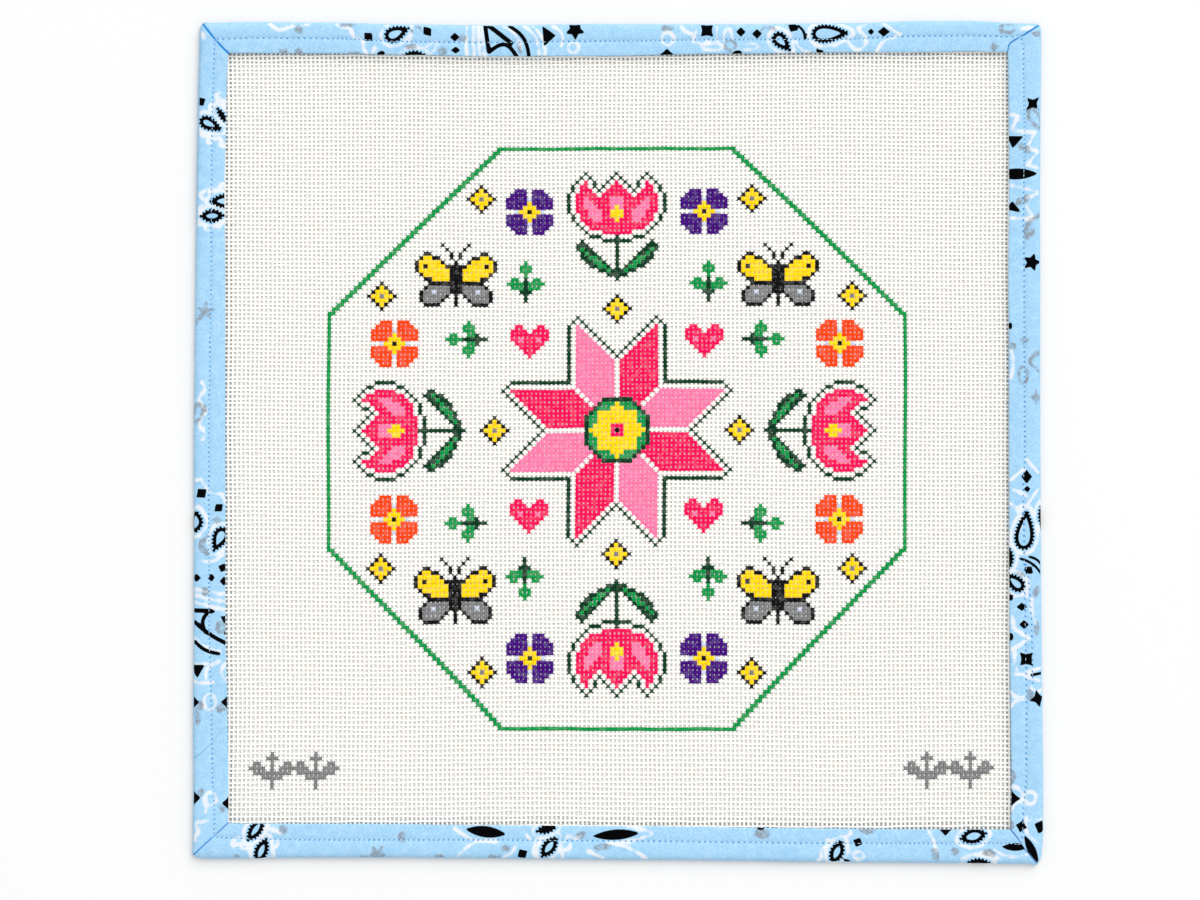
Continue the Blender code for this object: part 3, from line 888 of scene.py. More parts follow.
MARKS = {
    "bottom": (
        *alike(Leaf, ("toothed",),
            (30.7, 6, 11.2, 5, 67), (28.2, 15.6, 11.4, 4.8, 54), (159.7, 7.8, 10.4, 5.2, 53),
            (288.6, 5.5, 10.6, 5.2, 66), (349.8, 12.6, 11.4, 5.9, 13), (352, 0, 11, 4.4, 0)),
        *alike(Leaf, ("solid",),
            (131.3, 14.6, 18.2, 4.8, -7), (189.7, 13.3, 21, 4.4, 4), (368.6, 7.8, 12, 3.2, 0)),
        *alike(Leaf, ("filled",),
            (158.5, 15.8, 8.4, 3, 14)),
        *alike(Spot, ("black",),
            (147.7, 4.7, 4.9, 4.7, 32, 4, 0), (298, 9.9, 4.4, 4.2, 65, 4, 0),
            (337.3, 14.9, 4.2, 7, -90, 3, 0.08)),
        *alike(Spot, (0, 0, "black"),
            (254.5, 16.2, 3, 1.4, 0), (293.4, 1.4, 2.4, 1.2, 0)),
        *alike(Spot, (0, 0, "grey"),
            (19.5, 3.3, 1.6, 1.8, 0), (40.6, 15.4, 2.8, 4, 0), (77, 3.2, 4, 1.2, 0), (93.8, 12, 3, 4, 0),
            (110.6, 3.3, 4.4, 1.6, 0), (135.3, 3.1, 5.4, 2, 0), (140, 7.4, 3.2, 2.6, 0),
            (173.7, 13.3, 3.8, 3, 20), (183.6, 7.8, 7.2, 2.2, 0), (255, 13.8, 6, 4.4, 0),
            (302.5, 14.9, 6.4, 2.2, 0), (332.8, 4.6, 6, 2.4, 105), (341.4, 5.9, 3.2, 2.8, 0),
            (356.8, 5.2, 5.4, 3.2, -10)),
        *alike(Spot, ("grey",),
            (82.8, 5, 7.6, 7.6, -90, 5, 0.5)),
        *alike(Loop, ("white",),
            (298.4, 4, 4.8, 3.6, 0, 1.1)),
        *alike(Line, ("white",),
            (20.8, 8.6, 7.6, -20, 1, 3, 1.1), (20.4, 11.6, 6, 8, 0.6, 3, 1.1),
            (36.6, 6.6, 8.6, 70, 0.8, 3, 1.3), (142, 5.4, 6.8, 42, -0.6, 1, 1),
            (152.4, 12.2, 5.6, -20, -1.4, 1, 1), (166.4, 5.4, 9, 55, 1, 3, 1.3),
            (168.6, 11.6, 9, 12, 1, 3, 1.3), (282.4, 6, 10, 64, 0.8, 3, 1.4),
            (293.6, 12.2, 6, 70, 0.6, 3, 1.2)),
        *alike(Line, (1, 1.1, "white"),
            (25, 5, 5.2, -72, 0.4), (23, 14.6, 4, 80, 0.5), (35.4, 15, 8.4, -14, 0.8),
            (153.8, 6.2, 6.4, 95, 1), (197.6, 11.4, 16.4, 13, -0.6), (200.4, 15.6, 11, -14, 0.4),
            (194.6, 6.2, 18, -22, 1.4), (352.6, 2.8, 16, 0, 2), (366.6, 5.6, 15, -8, -2.2)),
        *alike(Line, (1, 1.2, "white"),
            (127.6, 6.6, 20, 21, 3.3), (123.6, 13.2, 13.4, -26, -1.2), (180.6, 4.4, 7.2, -24, 0),
            (331.4, 10.6, 9.4, 112, -0.6)),
    ),
    "right": (
        *alike(Leaf, ("solid",),
            (6.6, 5.2, 14, 3.5, 26), (309.4, 12, 19, 4.7, 91)),
        *alike(Leaf, ("drop",),
            (126.8, 13, 10.4, 5.4, 48), (149.9, 8.1, 17, 7.7, -6)),
        *alike(Leaf, ("filled",),
            (136.9, 15.2, 8.6, 3, -3), (155.4, -0.2, 11, 3.6, 8)),
        *alike(Spot, ("black",),
            (16.9, 0.8, 6.4, 6.4, 68, 4, 0), (17.1, 9.7, 5.5, 5.1, -14, 4, 0.1),
            (29.5, 13.1, 6, 9.6, -92, 3, 0.22), (74.2, 2.3, 8.2, 7.8, 12, 4, 0.36),
            (92, 7.4, 8.2, 7.8, 45, 4, 0.22), (107.5, 8.5, 3.9, 4.3, 0, 4, 0.05),
            (115.4, 9.5, 3.6, 4.7, 0, 4, 0.05), (131.8, 6.4, 4.5, 3.9, 55, 4, 0),
            (168.2, 7.1, 2.9, 2.8, 0, 4, 0.05), (173.7, 7.3, 6.2, 4.6, 0, 4, 0.05),
            (269.8, 5, 8, 8, -88, 5, 0.42), (294.3, 13.2, 8.4, 4.9, -122, 3, 0),
            (324.5, 12.8, 8.4, 6.6, -66, 3, 0), (340.9, 4.6, 8.2, 8.2, 45, 4, 0.44)),
        *alike(Spot, (0, 0, "black"),
            (102, 14.3, 3.2, 1.8, 0), (119.5, 14.3, 2.6, 1.6, 0), (241.3, 14.6, 2.8, 1.4, 0)),
        *alike(Spot, (0, 0, "grey"),
            (17.9, 14, 3.2, 1.4, 0), (39, 13.9, 5.4, 2.6, 0), (76.2, 5.8, 4.2, 2.6, 10),
            (105.9, 2.6, 5.4, 2.2, 0), (122.6, 3, 5.2, 2.2, -12), (232.3, 13.3, 2.6, 2.6, 0),
            (282.4, 6, 6, 2.4, -40), (297.6, 9.3, 6.4, 2.8, -58), (321, 8.4, 6.4, 3, 60),
            (372.2, 3, 2, 3.4, 0)),
        *alike(Spot, ("grey",),
            (130.2, 10.3, 2.8, 3, 0, 4, 0.2), (209.6, 3.2, 6.4, 5, 0, 4, 0.35),
            (235, 8.4, 3, 3.8, 0, 4, 0.2)),
        *alike(Loop, ("grey",),
            (219.2, 8.9, 7.8, 4, 0, 0.6), (334.4, 3.6, 9.4, 4.2, 34, 1.2)),
        *alike(Loop, ("white",),
            (29.8, 5.9, 5.6, 5.6, 0, 1.3)),
        *alike(Line, ("black",),
            (85.3, 2.8, 4.6, 100, 0, 1, 1), (133.6, 5.4, 11.6, 54, -1.2, 1, 0.9),
            (136.2, 3.4, 6.2, 58, -0.6, 1, 0.9)),
        *alike(Line, ("grey",),
            (225.3, 2, 8.2, 0, 4, 1, 0.9), (287, 4.8, 10.4, -38, 1.4, 1, 1.2)),
        *alike(Line, (1, 1.1, "white"),
            (15.4, 4.9, 12.6, 24, 2.8), (72.2, 11.4, 6.4, -62, 1.2), (76.2, 11.4, 6.2, 70, 1.2),
            (98.9, 9.9, 8.9, -57, 0), (103.7, 9.9, 8.9, 58, 0), (161, 12, 5.6, 75, 0.8)),
        *alike(Line, (1, 1, "white"),
            (19.9, 3.4, 5.4, 95, 0), (26.4, 11.4, 7.4, -52, 1.2), (33, 11.6, 6.4, 55, -1),
            (78.6, 2.9, 5, 80, 1), (85.1, 1.6, 5.6, 0, 6.2), (86.4, 7.8, 9, 105, 1),
            (90.8, 12, 8, 6, 0.8), (108.6, 13.4, 5.6, 8, 0), (113.6, 4.2, 11, 8, 0.8),
            (164.9, 4.4, 7.8, -34, 0), (178.6, 4.8, 8, 42, 0), (166.4, 10, 7, 62, 0),
            (174.8, 11.4, 8, 128, 0), (224, 14.2, 12, 0, -0.9), (289.5, 9.5, 9.8, 88, 0),
            (292.4, 5.8, 6.6, 30, 0), (299.6, 4.9, 5.6, -70, 0), (303, 8.2, 12, 78, 0.3),
            (312.8, 4.8, 5.4, 72, 0), (316.4, 4.6, 6.6, -44, 0), (320.2, 4.2, 4, 72, 0),
            (325.4, 4.9, 5.8, -28, 0), (328.6, 8.8, 10.6, 84, 0.3), (333, 12.2, 6, -26, 0),
            (335.9, 13, 3.6, 80, 0)),
        *alike(Line, ("white",),
            (123.2, 7.6, 7, 0, 0.6, 3, 1), (154, 12.4, 10.6, -2, -3, 1, 1.4)),
    ),
    "top": (
        *alike(Leaf, ("drop",),
            (91.6, 5.1, 10.8, 5.9, -24), (264.1, 9.2, 9.4, 5.4, 46), (285.7, 5.3, 15.8, 7.2, -2)),
        *alike(Leaf, ("filled",),
            (99.3, 15.3, 9.8, 3.7, 0)),
        *alike(Spot, ("black",),
            (78.7, 6.8, 4.9, 4.9, 45, 4, 0.06), (105.1, 4.3, 5.2, 4.2, 52, 4, 0),
            (117.4, 6.9, 4.3, 3.8, 0, 4, 0.05), (117.8, 12.7, 4.3, 3, 0, 4, 0.05),
            (158.9, 6.4, 7.2, 10.3, -4, 3, 0), (171.3, 3.7, 8.6, 8.6, 88, 5, 0.38),
            (212.5, 14.1, 4.1, 8.4, -90, 3, 0.12), (230.4, 3.9, 7.8, 7.6, 45, 4, 0.22),
            (245.6, 4.6, 4.2, 4.2, 0, 4, 0.05), (252.8, 5.4, 4.3, 4.1, 0, 4, 0.05),
            (269, 2.5, 5, 4.4, 30, 4, 0), (281.2, 14, 5, 3.2, 45, 4, 0),
            (303.9, 4.5, 2.8, 2.7, 0, 4, 0.05), (309.6, 4.5, 5.4, 4.2, 0, 4, 0.05)),
        *alike(Spot, (0, 0, "black"),
            (84.3, 14.3, 3.6, 2, -20), (243.8, 14.3, 4.4, 2.6, -15)),
        *alike(Spot, (0, 0, "grey"),
            (47.6, 3.4, 3.6, 3, 0), (47.4, 13.3, 2.6, 2.2, 0), (69.4, 1.4, 6.5, 1.8, -8),
            (72.3, 14.2, 4.6, 1.4, 0), (97.6, 11.2, 4.6, 1.8, -10), (112, 13.2, 2.8, 2.8, 0),
            (120.8, 7.1, 2.6, 2.8, 0), (146.5, 12.2, 3.8, 1.4, 80), (212.6, 3, 5.4, 2, 0)),
        *alike(Spot, ("grey",),
            (40.6, 13.2, 4, 3, 0, 5, 0.2), (359, 11.3, 3.8, 3.2, 0, 4, 0.2)),
        *alike(Loop, ("grey",),
            (240.8, 10.6, 4.4, 4.4, 0, 0.5), (365, 3, 6, 3.6, 0, 0.5)),
        *alike(Loop, ("white",),
            (170.6, 11.5, 4.8, 4.6, 0, 1), (212.9, 7.6, 5.6, 5.8, 0, 1.3), (232.8, 11.2, 9.8, 3, 0, 0.7),
            (248.4, 11.1, 10, 2.8, 0, 0.7)),
        *alike(Line, ("black",),
            (131.8, 7.3, 12.4, 82, 0, 1, 1.6), (137.8, 5.8, 12.2, 38, 0, 1, 1.8),
            (139, 14.5, 12.4, 9, -4.3, 1, 1.5), (146.3, 8.7, 15.9, 57, -2.3, 1, 1.4),
            (272.9, 4.8, 6.6, 63, -0.8, 1, 0.9)),
        *alike(Line, ("grey",),
            (100.5, 4, 4.6, 0, -2, 1, 0.8), (257, 5, 8, -20, -2.2, 1, 0.9)),
        *alike(Line, (1, 1.1, "white"),
            (39.6, 0.9, 10.4, 0, 2.6), (77.2, 11.6, 5.6, 70, 0.8), (122.9, 8.5, 14, 90, 0.3),
            (126, 8.5, 14, 88, 0.3), (151.6, 8, 15, 62, -2.2), (272.6, 11.2, 7.4, 44, 0.6)),
        *alike(Line, ("white",),
            (48, 1.9, 8.6, -10, 0, 1, 0.9), (69.6, 3.9, 13, 34, -1.2, 3, 1),
            (80.9, 12.8, 2.6, -65, 0, 1, 1.3), (97.5, 7.2, 2.4, -60, 0, 1, 1.6),
            (130.2, 9, 13, 85, 0, 1, 0.9), (228.6, 9.8, 7, 0, 0.5, 3, 1),
            (297.9, 9.2, 8.4, 2, 3.3, 1, 1.6)),
        *alike(Line, (1, 1, "white"),
            (104.9, 10.2, 9.2, -24, 0.8), (107.8, 12.6, 7, -50, 0), (128.3, 8.5, 14, 87, 0),
            (155, 8.2, 14, 66, -1.8), (143, 7.2, 14, 52, -2), (163.4, 6.6, 9.6, 68, -2.2),
            (221.6, 3.6, 7, 36, 1), (225, 7.2, 4.8, 100, 0.4), (234.9, 5.8, 6.6, 86, 0),
            (239.8, 7.6, 4.6, 0, -4.8), (300.1, 1.8, 4.4, -31, 0), (299.8, 5, 5.2, 52, 0),
            (313.4, 3.4, 8.8, 34, 0), (315.4, 6.4, 4.6, -24, 0), (308.9, 10.8, 8.2, 129, 1),
            (374, 2.8, 6, -4, 0)),
    ),
    "left": (
        *alike(Leaf, ("drop",),
            (145.6, 11.8, 10.6, 6, 205), (331.5, 8.1, 10, 5, 116)),
        *alike(Leaf, ("toothed",),
            (153.3, 0.8, 9.6, 6.6, 8), (290.6, 8.7, 9.8, 5, 88), (297.3, 14.8, 13.2, 5.4, 88)),
        *alike(Leaf, ("filled",),
            (335.7, 13, 6.6, 1.8, 148)),
        *alike(Spot, ("black",),
            (113.4, 8.9, 2.8, 2.6, 90, 3, 0), (110.1, 14.2, 4.2, 4.4, -60, 3, 0),
            (128.4, 1.7, 4, 3.8, 0, 4, 0.05), (128.5, 8.3, 3.8, 3.1, 0, 4, 0.05),
            (126.9, 13.9, 4, 3.8, 0, 4, 0.05), (132.9, 13.4, 3.9, 4.2, 22, 4, 0),
            (166.3, 3.9, 5.6, 5, 52, 4, 0.05), (159.8, 11.6, 4.8, 4.2, 48, 4, 0.05),
            (29.8, 1.1, 5, 8.6, 90, 3, 0.12), (72.7, 0.9, 4.1, 7.4, 90, 3, 0.12),
            (27.4, 15.5, 5.2, 9.2, -90, 3, 0.18), (72.7, 15, 5, 8.8, -90, 3, 0.18),
            (87.4, 2, 7.6, 7.4, 180, 3, 0), (341.8, 3.6, 4.6, 4.2, 60, 4, 0)),
        *alike(Spot, (0, 0, "black"),
            (103.7, 15, 1.8, 2, 0)),
        *alike(Spot, (0, 0, "grey"),
            (32, 3.6, 3, 2.4, 0), (65.6, 2, 7, 1.6, -8), (71, 3.4, 3.4, 2.4, 0), (25.2, 13.4, 3, 2.2, 0),
            (69.8, 12.4, 4.4, 3, 50), (122.2, 5.6, 3.2, 2.6, 0), (204.4, 5.5, 3.2, 1.8, 0)),
        *alike(Spot, ("grey",),
            (154.2, 10.9, 3.4, 3.4, 0, 4, 0.2), (248, 5.8, 7, 7, -70, 5, 0.48)),
        *alike(Spot, (0, 0, "white"),
            (371.1, 4.7, 3.4, 1.2, -24)),
        *alike(Loop, ("grey",),
            (106.2, 13, 3.8, 4, 0, 1.2), (202.2, 2, 8.2, 4.4, 16, 1.2)),
        *alike(Loop, ("white",),
            (29.4, 8, 6, 5.2, 0, 1.2), (73, 7.6, 7.6, 5.2, 0, 1.1)),
        *alike(Line, ("black",),
            (97.1, 6.3, 11.9, -63, -1.2, 1, 1.4), (103.7, 8.2, 17.3, -56, -0.8, 1, 1.6),
            (108.8, 6.7, 9.8, 11, -2.2, 1, 1.4), (113.7, 4.2, 7.2, 92, 0, 1, 1.7)),
        *alike(Line, ("grey",),
            (143, 6.6, 7.6, 0, -2.8, 1, 1.4), (244.6, 2.8, 4.8, 45, 0.4, 3, 0.9)),
        *alike(Line, ("white",),
            (14.6, 1.9, 9, 6, 0.8, 3, 1.1), (115.9, 7.8, 13.6, 104, 0.4, 1, 1.2),
            (119.2, 8.2, 14.4, 102, 0.3, 1, 1.2), (137.4, 8.6, 9.6, 72, 1.6, 1, 1.2),
            (172.3, 2.8, 3, 80, 0, 1, 1), (203, 4.2, 26, 0, 1.4, 5, 1.2), (286, 5, 6, -50, 0.6, 3, 1.5),
            (286.6, 11.6, 5, 60, 0.6, 3, 1.5), (296.6, 4.4, 10, 10, 1.6, 3, 1.3),
            (302.6, 11, 8, 60, 1, 3, 1.6), (324.6, 11.8, 8, -50, 1, 3, 1.6),
            (325.6, 6, 6, -40, 0.8, 3, 1.3), (342, 10.2, 9, 30, 1, 3, 1.6),
            (341.4, 13.6, 5, -30, 0.8, 3, 1.3)),
        *alike(Line, (1, 1.1, "white"),
            (19.2, 4.8, 5.6, 80, 0), (25.6, 5.6, 4.6, 0, 0.4), (82, 4.8, 8.4, 95, 0.8),
            (86.6, 7.6, 7, 28, -1.6), (90.4, 6.6, 10, 84, 0.6), (86, 15, 8, 0, -2.2),
            (98.6, 6.4, 13, -62, -1.2), (122.2, 8.2, 14.4, 99, 0.3), (153.4, 3.4, 12.4, 4, 3.2),
            (169.7, 5.7, 7.2, 148, 0.3), (166.4, 10.6, 6, 97, 0.3), (164, 14, 4.4, 152, 0)),
    ),
}

FAR = 3.0                       # millimetres, where a distance to a printed mark stops counting
OUTLINE_WIDTH = 1.35            # millimetres, of the black line round a toothed leaf or drop
HALO_AT = 2.1                   # how far outside it the pale line round it runs
HALO_WIDTH = 1.2
TOOTH_PITCH = 1.60
OUTLINE_STEPS = 40
INKS = ("black", "white", "grey")


def mark_outline(mark):
    """The points of a mark's outline, or of a line's middle, about the mark's own middle."""
    steps = np.linspace(0, 1, OUTLINE_STEPS, endpoint=False)
    turn = 2 * math.pi * steps
    p, q = np.cos(turn), np.sin(turn)
    if isinstance(mark, Line):
        u = (np.linspace(0, 1, OUTLINE_STEPS) - 0.5) * mark.length
        return np.stack([u, mark.bend * np.cos(math.pi * mark.waves * u / mark.length)], axis=1)
    if isinstance(mark, Leaf) and mark.kind == "drop":
        q = q * ((1 - p) / 2) ** 0.55
        q = q / q.max()
    elif isinstance(mark, Leaf):
        q = np.sign(q) * (1 - p * p)
    elif isinstance(mark, Spot) and mark.corners:
        side = steps * mark.corners
        first = 2 * math.pi / mark.corners * np.floor(side)
        after = first + 2 * math.pi / mark.corners
        share = side - np.floor(side)
        middling = 1 - np.abs(2 * share - 1) if mark.corners == 5 else 4 * share * (1 - share)
        drawn = 1 - mark.hollow * middling
        p, q = (drawn * (wave(first) * (1 - share) + wave(after) * share) for wave in (np.cos, np.sin))
    return np.stack([p * mark.length / 2, q * mark.width / 2], axis=1)


def outline_distance(outline, closed, u, v):
    """How far points are from an outline, negative inside, and how far round it they lie."""
    first = outline if closed else outline[:-1]
    step = np.roll(outline, -1, axis=0) - outline if closed else np.diff(outline, axis=0)
    away = np.stack([u, v], axis=1)[:, None, :] - first[None, :, :]
    share = np.clip((away * step).sum(axis=2) / (step * step).sum(axis=1), 0, 1)
    off = away - share[..., None] * step
    gaps = np.hypot(off[..., 0], off[..., 1])
    nearest = gaps.argmin(axis=1)
    order = np.arange(len(u))
    gap = gaps[order, nearest]
    lengths = np.hypot(step[:, 0], step[:, 1])
    passed = np.concatenate([[0.0], np.cumsum(lengths)[:-1]])
    round_it = passed[nearest] + share[order, nearest] * lengths[nearest]
    if closed:
        above = away[..., 1] < 0
        next_above = away[..., 1] - step[:, 1] < 0
        slope = step[:, 0] / np.where(step[:, 1] == 0, 1e-9, step[:, 1])
        crossed = (above != next_above) & (away[..., 0] < away[..., 1] * slope)
        gap = np.where(crossed.sum(axis=1) % 2 == 1, -gap, gap)
    return gap, np.abs(round_it - lengths.sum() / 2), lengths.sum()


def print_marks(marks, a, b):
    """How far each point of one side, in its millimetres, is from each ink, and the teeth there.

    The columns are black, white, grey, the clear middle of a toothed form, and the place and
    strength of the teeth."""
    fields = np.tile([FAR, FAR, FAR, -FAR, 0.0, 0.0], (len(a), 1))
    nearest = np.full(len(a), FAR)
    for mark in marks:
        reach = mark.length / 2 + 2 * FAR
        near = np.nonzero((abs(a - mark.along) < reach) & (abs(b - mark.inward) < reach))[0]
        if not len(near):
            continue
        turn = math.radians(mark.turn)
        da = a[near] - mark.along
        db = b[near] - mark.inward
        u = da * math.cos(turn) + db * math.sin(turn)
        v = db * math.cos(turn) - da * math.sin(turn)
        closed = not isinstance(mark, Line)
        distance, round_it, whole_way = outline_distance(mark_outline(mark), closed, u, v)
        if not isinstance(mark, Leaf):
            if isinstance(mark, Loop):
                distance = np.abs(distance) - mark.line / 2
            elif isinstance(mark, Line):
                distance = distance - mark.width / 2
            ink = INKS.index(mark.ink)
            fields[near, ink] = np.minimum(fields[near, ink], distance)
            continue
        fields[near, 0] = np.minimum(fields[near, 0], distance)
        if mark.kind == "solid":
            continue
        if mark.kind != "filled":
            fields[near, 3] = np.maximum(fields[near, 3], -distance - OUTLINE_WIDTH)
        halo = np.abs(distance - HALO_AT) - HALO_WIDTH / 2
        fields[near, 1] = np.minimum(fields[near, 1], halo)
        teeth = round(whole_way / TOOTH_PITCH)
        closer = distance < nearest[near]
        here = near[closer]
        nearest[here] = distance[closer]
        fields[here, 4] = round_it[closer] / whole_way * teeth * 2 * math.pi
        fields[here, 5] = 1.0
    fields[:, :3] = np.clip(fields[:, :3], -FAR, FAR)
    return fields


# ---------------------------------------------------------------- the binding's cloth and sewing
# The printed strip is sewn down through both its leaves with one row of topstitching in a pale
# thread, which draws it in and puckers it. At each mitre one side is folded over the next.

RAISED_LOOK = 0.0022            # share by which the raised face looks larger from straight above
NOSE_DROOP = 0.50 * MM          # how far the upper leaf sinks to the canvas at its hem
SEWING_DIP = 0.26 * MM
SEWING_DIP_WIDTH = 0.7 * MM
SEWING_GRAIN = 0.05 * MM        # how far the stitches draw the cloth up between them
GRAIN_WIDTH = 2.2 * MM
DRAPE = 0.07 * MM               # slow unevenness of the upper leaf
STITCH_PITCH = 2.30 * MM        # on average
# How far apart the stitches are at places along each side, all in millimetres.
STITCH_PITCHES = (
    ((0, 170, 190, 295, 315, 381), (2.3, 2.3, 2.65, 2.6, 2.2, 1.9)),
    ((0, 170, 190, 250, 270, 300, 315, 378), (2.65, 2.65, 2.3, 2.3, 2.6, 2.6, 1.9, 2.2)),
    ((0, 55, 65, 100, 130, 175, 190, 300, 330, 381), (2.7, 2.7, 1.9, 2.1, 2.6, 2.5, 2.1, 1.95, 2.5, 2.7)),
    ((0, 90, 110, 140, 160, 378), (2.25, 2.25, 1.95, 1.95, 2.2, 2.25)),
)
# On the right side the sewing starts and ends, and runs double between these distances along it.
# The second row lies this much further out than the first. Both are in millimetres.
SECOND_ROW = ((77.9, 78.0, 107.0, 117.0, 128.0, 134.0), (0.0, 2.8, 2.8, 2.2, 1.5, 0.0))
SECOND_ROW_LEAST = 0.4 * MM     # where the two rows lie closer than this, one is sewn

# The seam that joins the strip's ends, in the left side's own millimetres: inward, and along.
JOIN_SEAM = ((0.7, 3.6, 6.3, 14.3), (47.7, 49.7, 52.4, 61.3))
SEAM_SLANT = 0.7                # from a distance along the side to one across the seam
SEAM_STOPS = 60.0               # millimetres, where the distance to the seam stops counting
SEAM_DIP = 0.10 * MM
SEAM_DIP_WIDTH = 0.5            # millimetres

MITRE_RISE = 0.50 * MM          # of the strip that is folded over at a corner
MITRE_REACH = 14.0 * MM
MITRE_START = 0.55              # share of the rise right at the fold, which is rounded this far in
MITRE_EDGE = 0.4 * MM
UNDER_RISE = 0.08 * MM          # of the strip beneath it
MITRE_CREASE = 0.16 * MM        # depth, place before the fold and width of the crease there
CREASE_AT = 0.2 * MM
CREASE_WIDTH = 0.3 * MM
MITRE_STATIONS = 40             # cross-sections on each side of a corner that its mitre moves
# The fold of a mitre strays from a straight line: at shares of the way in from the outer corner,
# how many millimetres it lies towards the following side. The corners count from the lower right.
MITRE_BENDS = (
    ((0.0, 0.12, 0.30, 0.46, 0.66, 0.77, 1.0), (-1.6, -1.45, -1.2, -1.15, -0.6, -0.15, 0.0)),
    ((0.0, 0.30, 0.47, 0.67, 0.80, 0.86, 1.0), (0.1, 1.0, 1.4, 2.3, 2.6, 2.5, 0.3)),
    ((0.0, 0.48, 0.80, 1.0), (-0.9, -0.1, -0.12, -0.3)),
    ((0.0, 0.20, 0.50, 0.60, 1.0), (-0.9, -0.85, -0.65, -0.42, -0.3)),
)
BEND_REACH = 9.0 * MM
BEND_TURNS = 4.0 * MM           # past this much from the fold the cloth only moves along its side
# How faint the painted shade along each mitre's fold line is, at its outer end and at the hem.
CREASE_SHADE_FAINTNESS = ((0.24, 0.18), (-0.02, 0.13), (-0.06, -0.05), (0.12, 0.20))
CREASE_SHADE_PINCH = 0.22                    # how much fainter that painted shade is under the sewing


def fold_b(side_of, a):
    """The fold's inward place on each side, in millimetres."""
    place = np.zeros(a.shape)
    for index, side in enumerate(BINDING_SIDES):
        here = side_of == index
        place[here] = fold_line(side, a[here] * MM) / MM
    return place


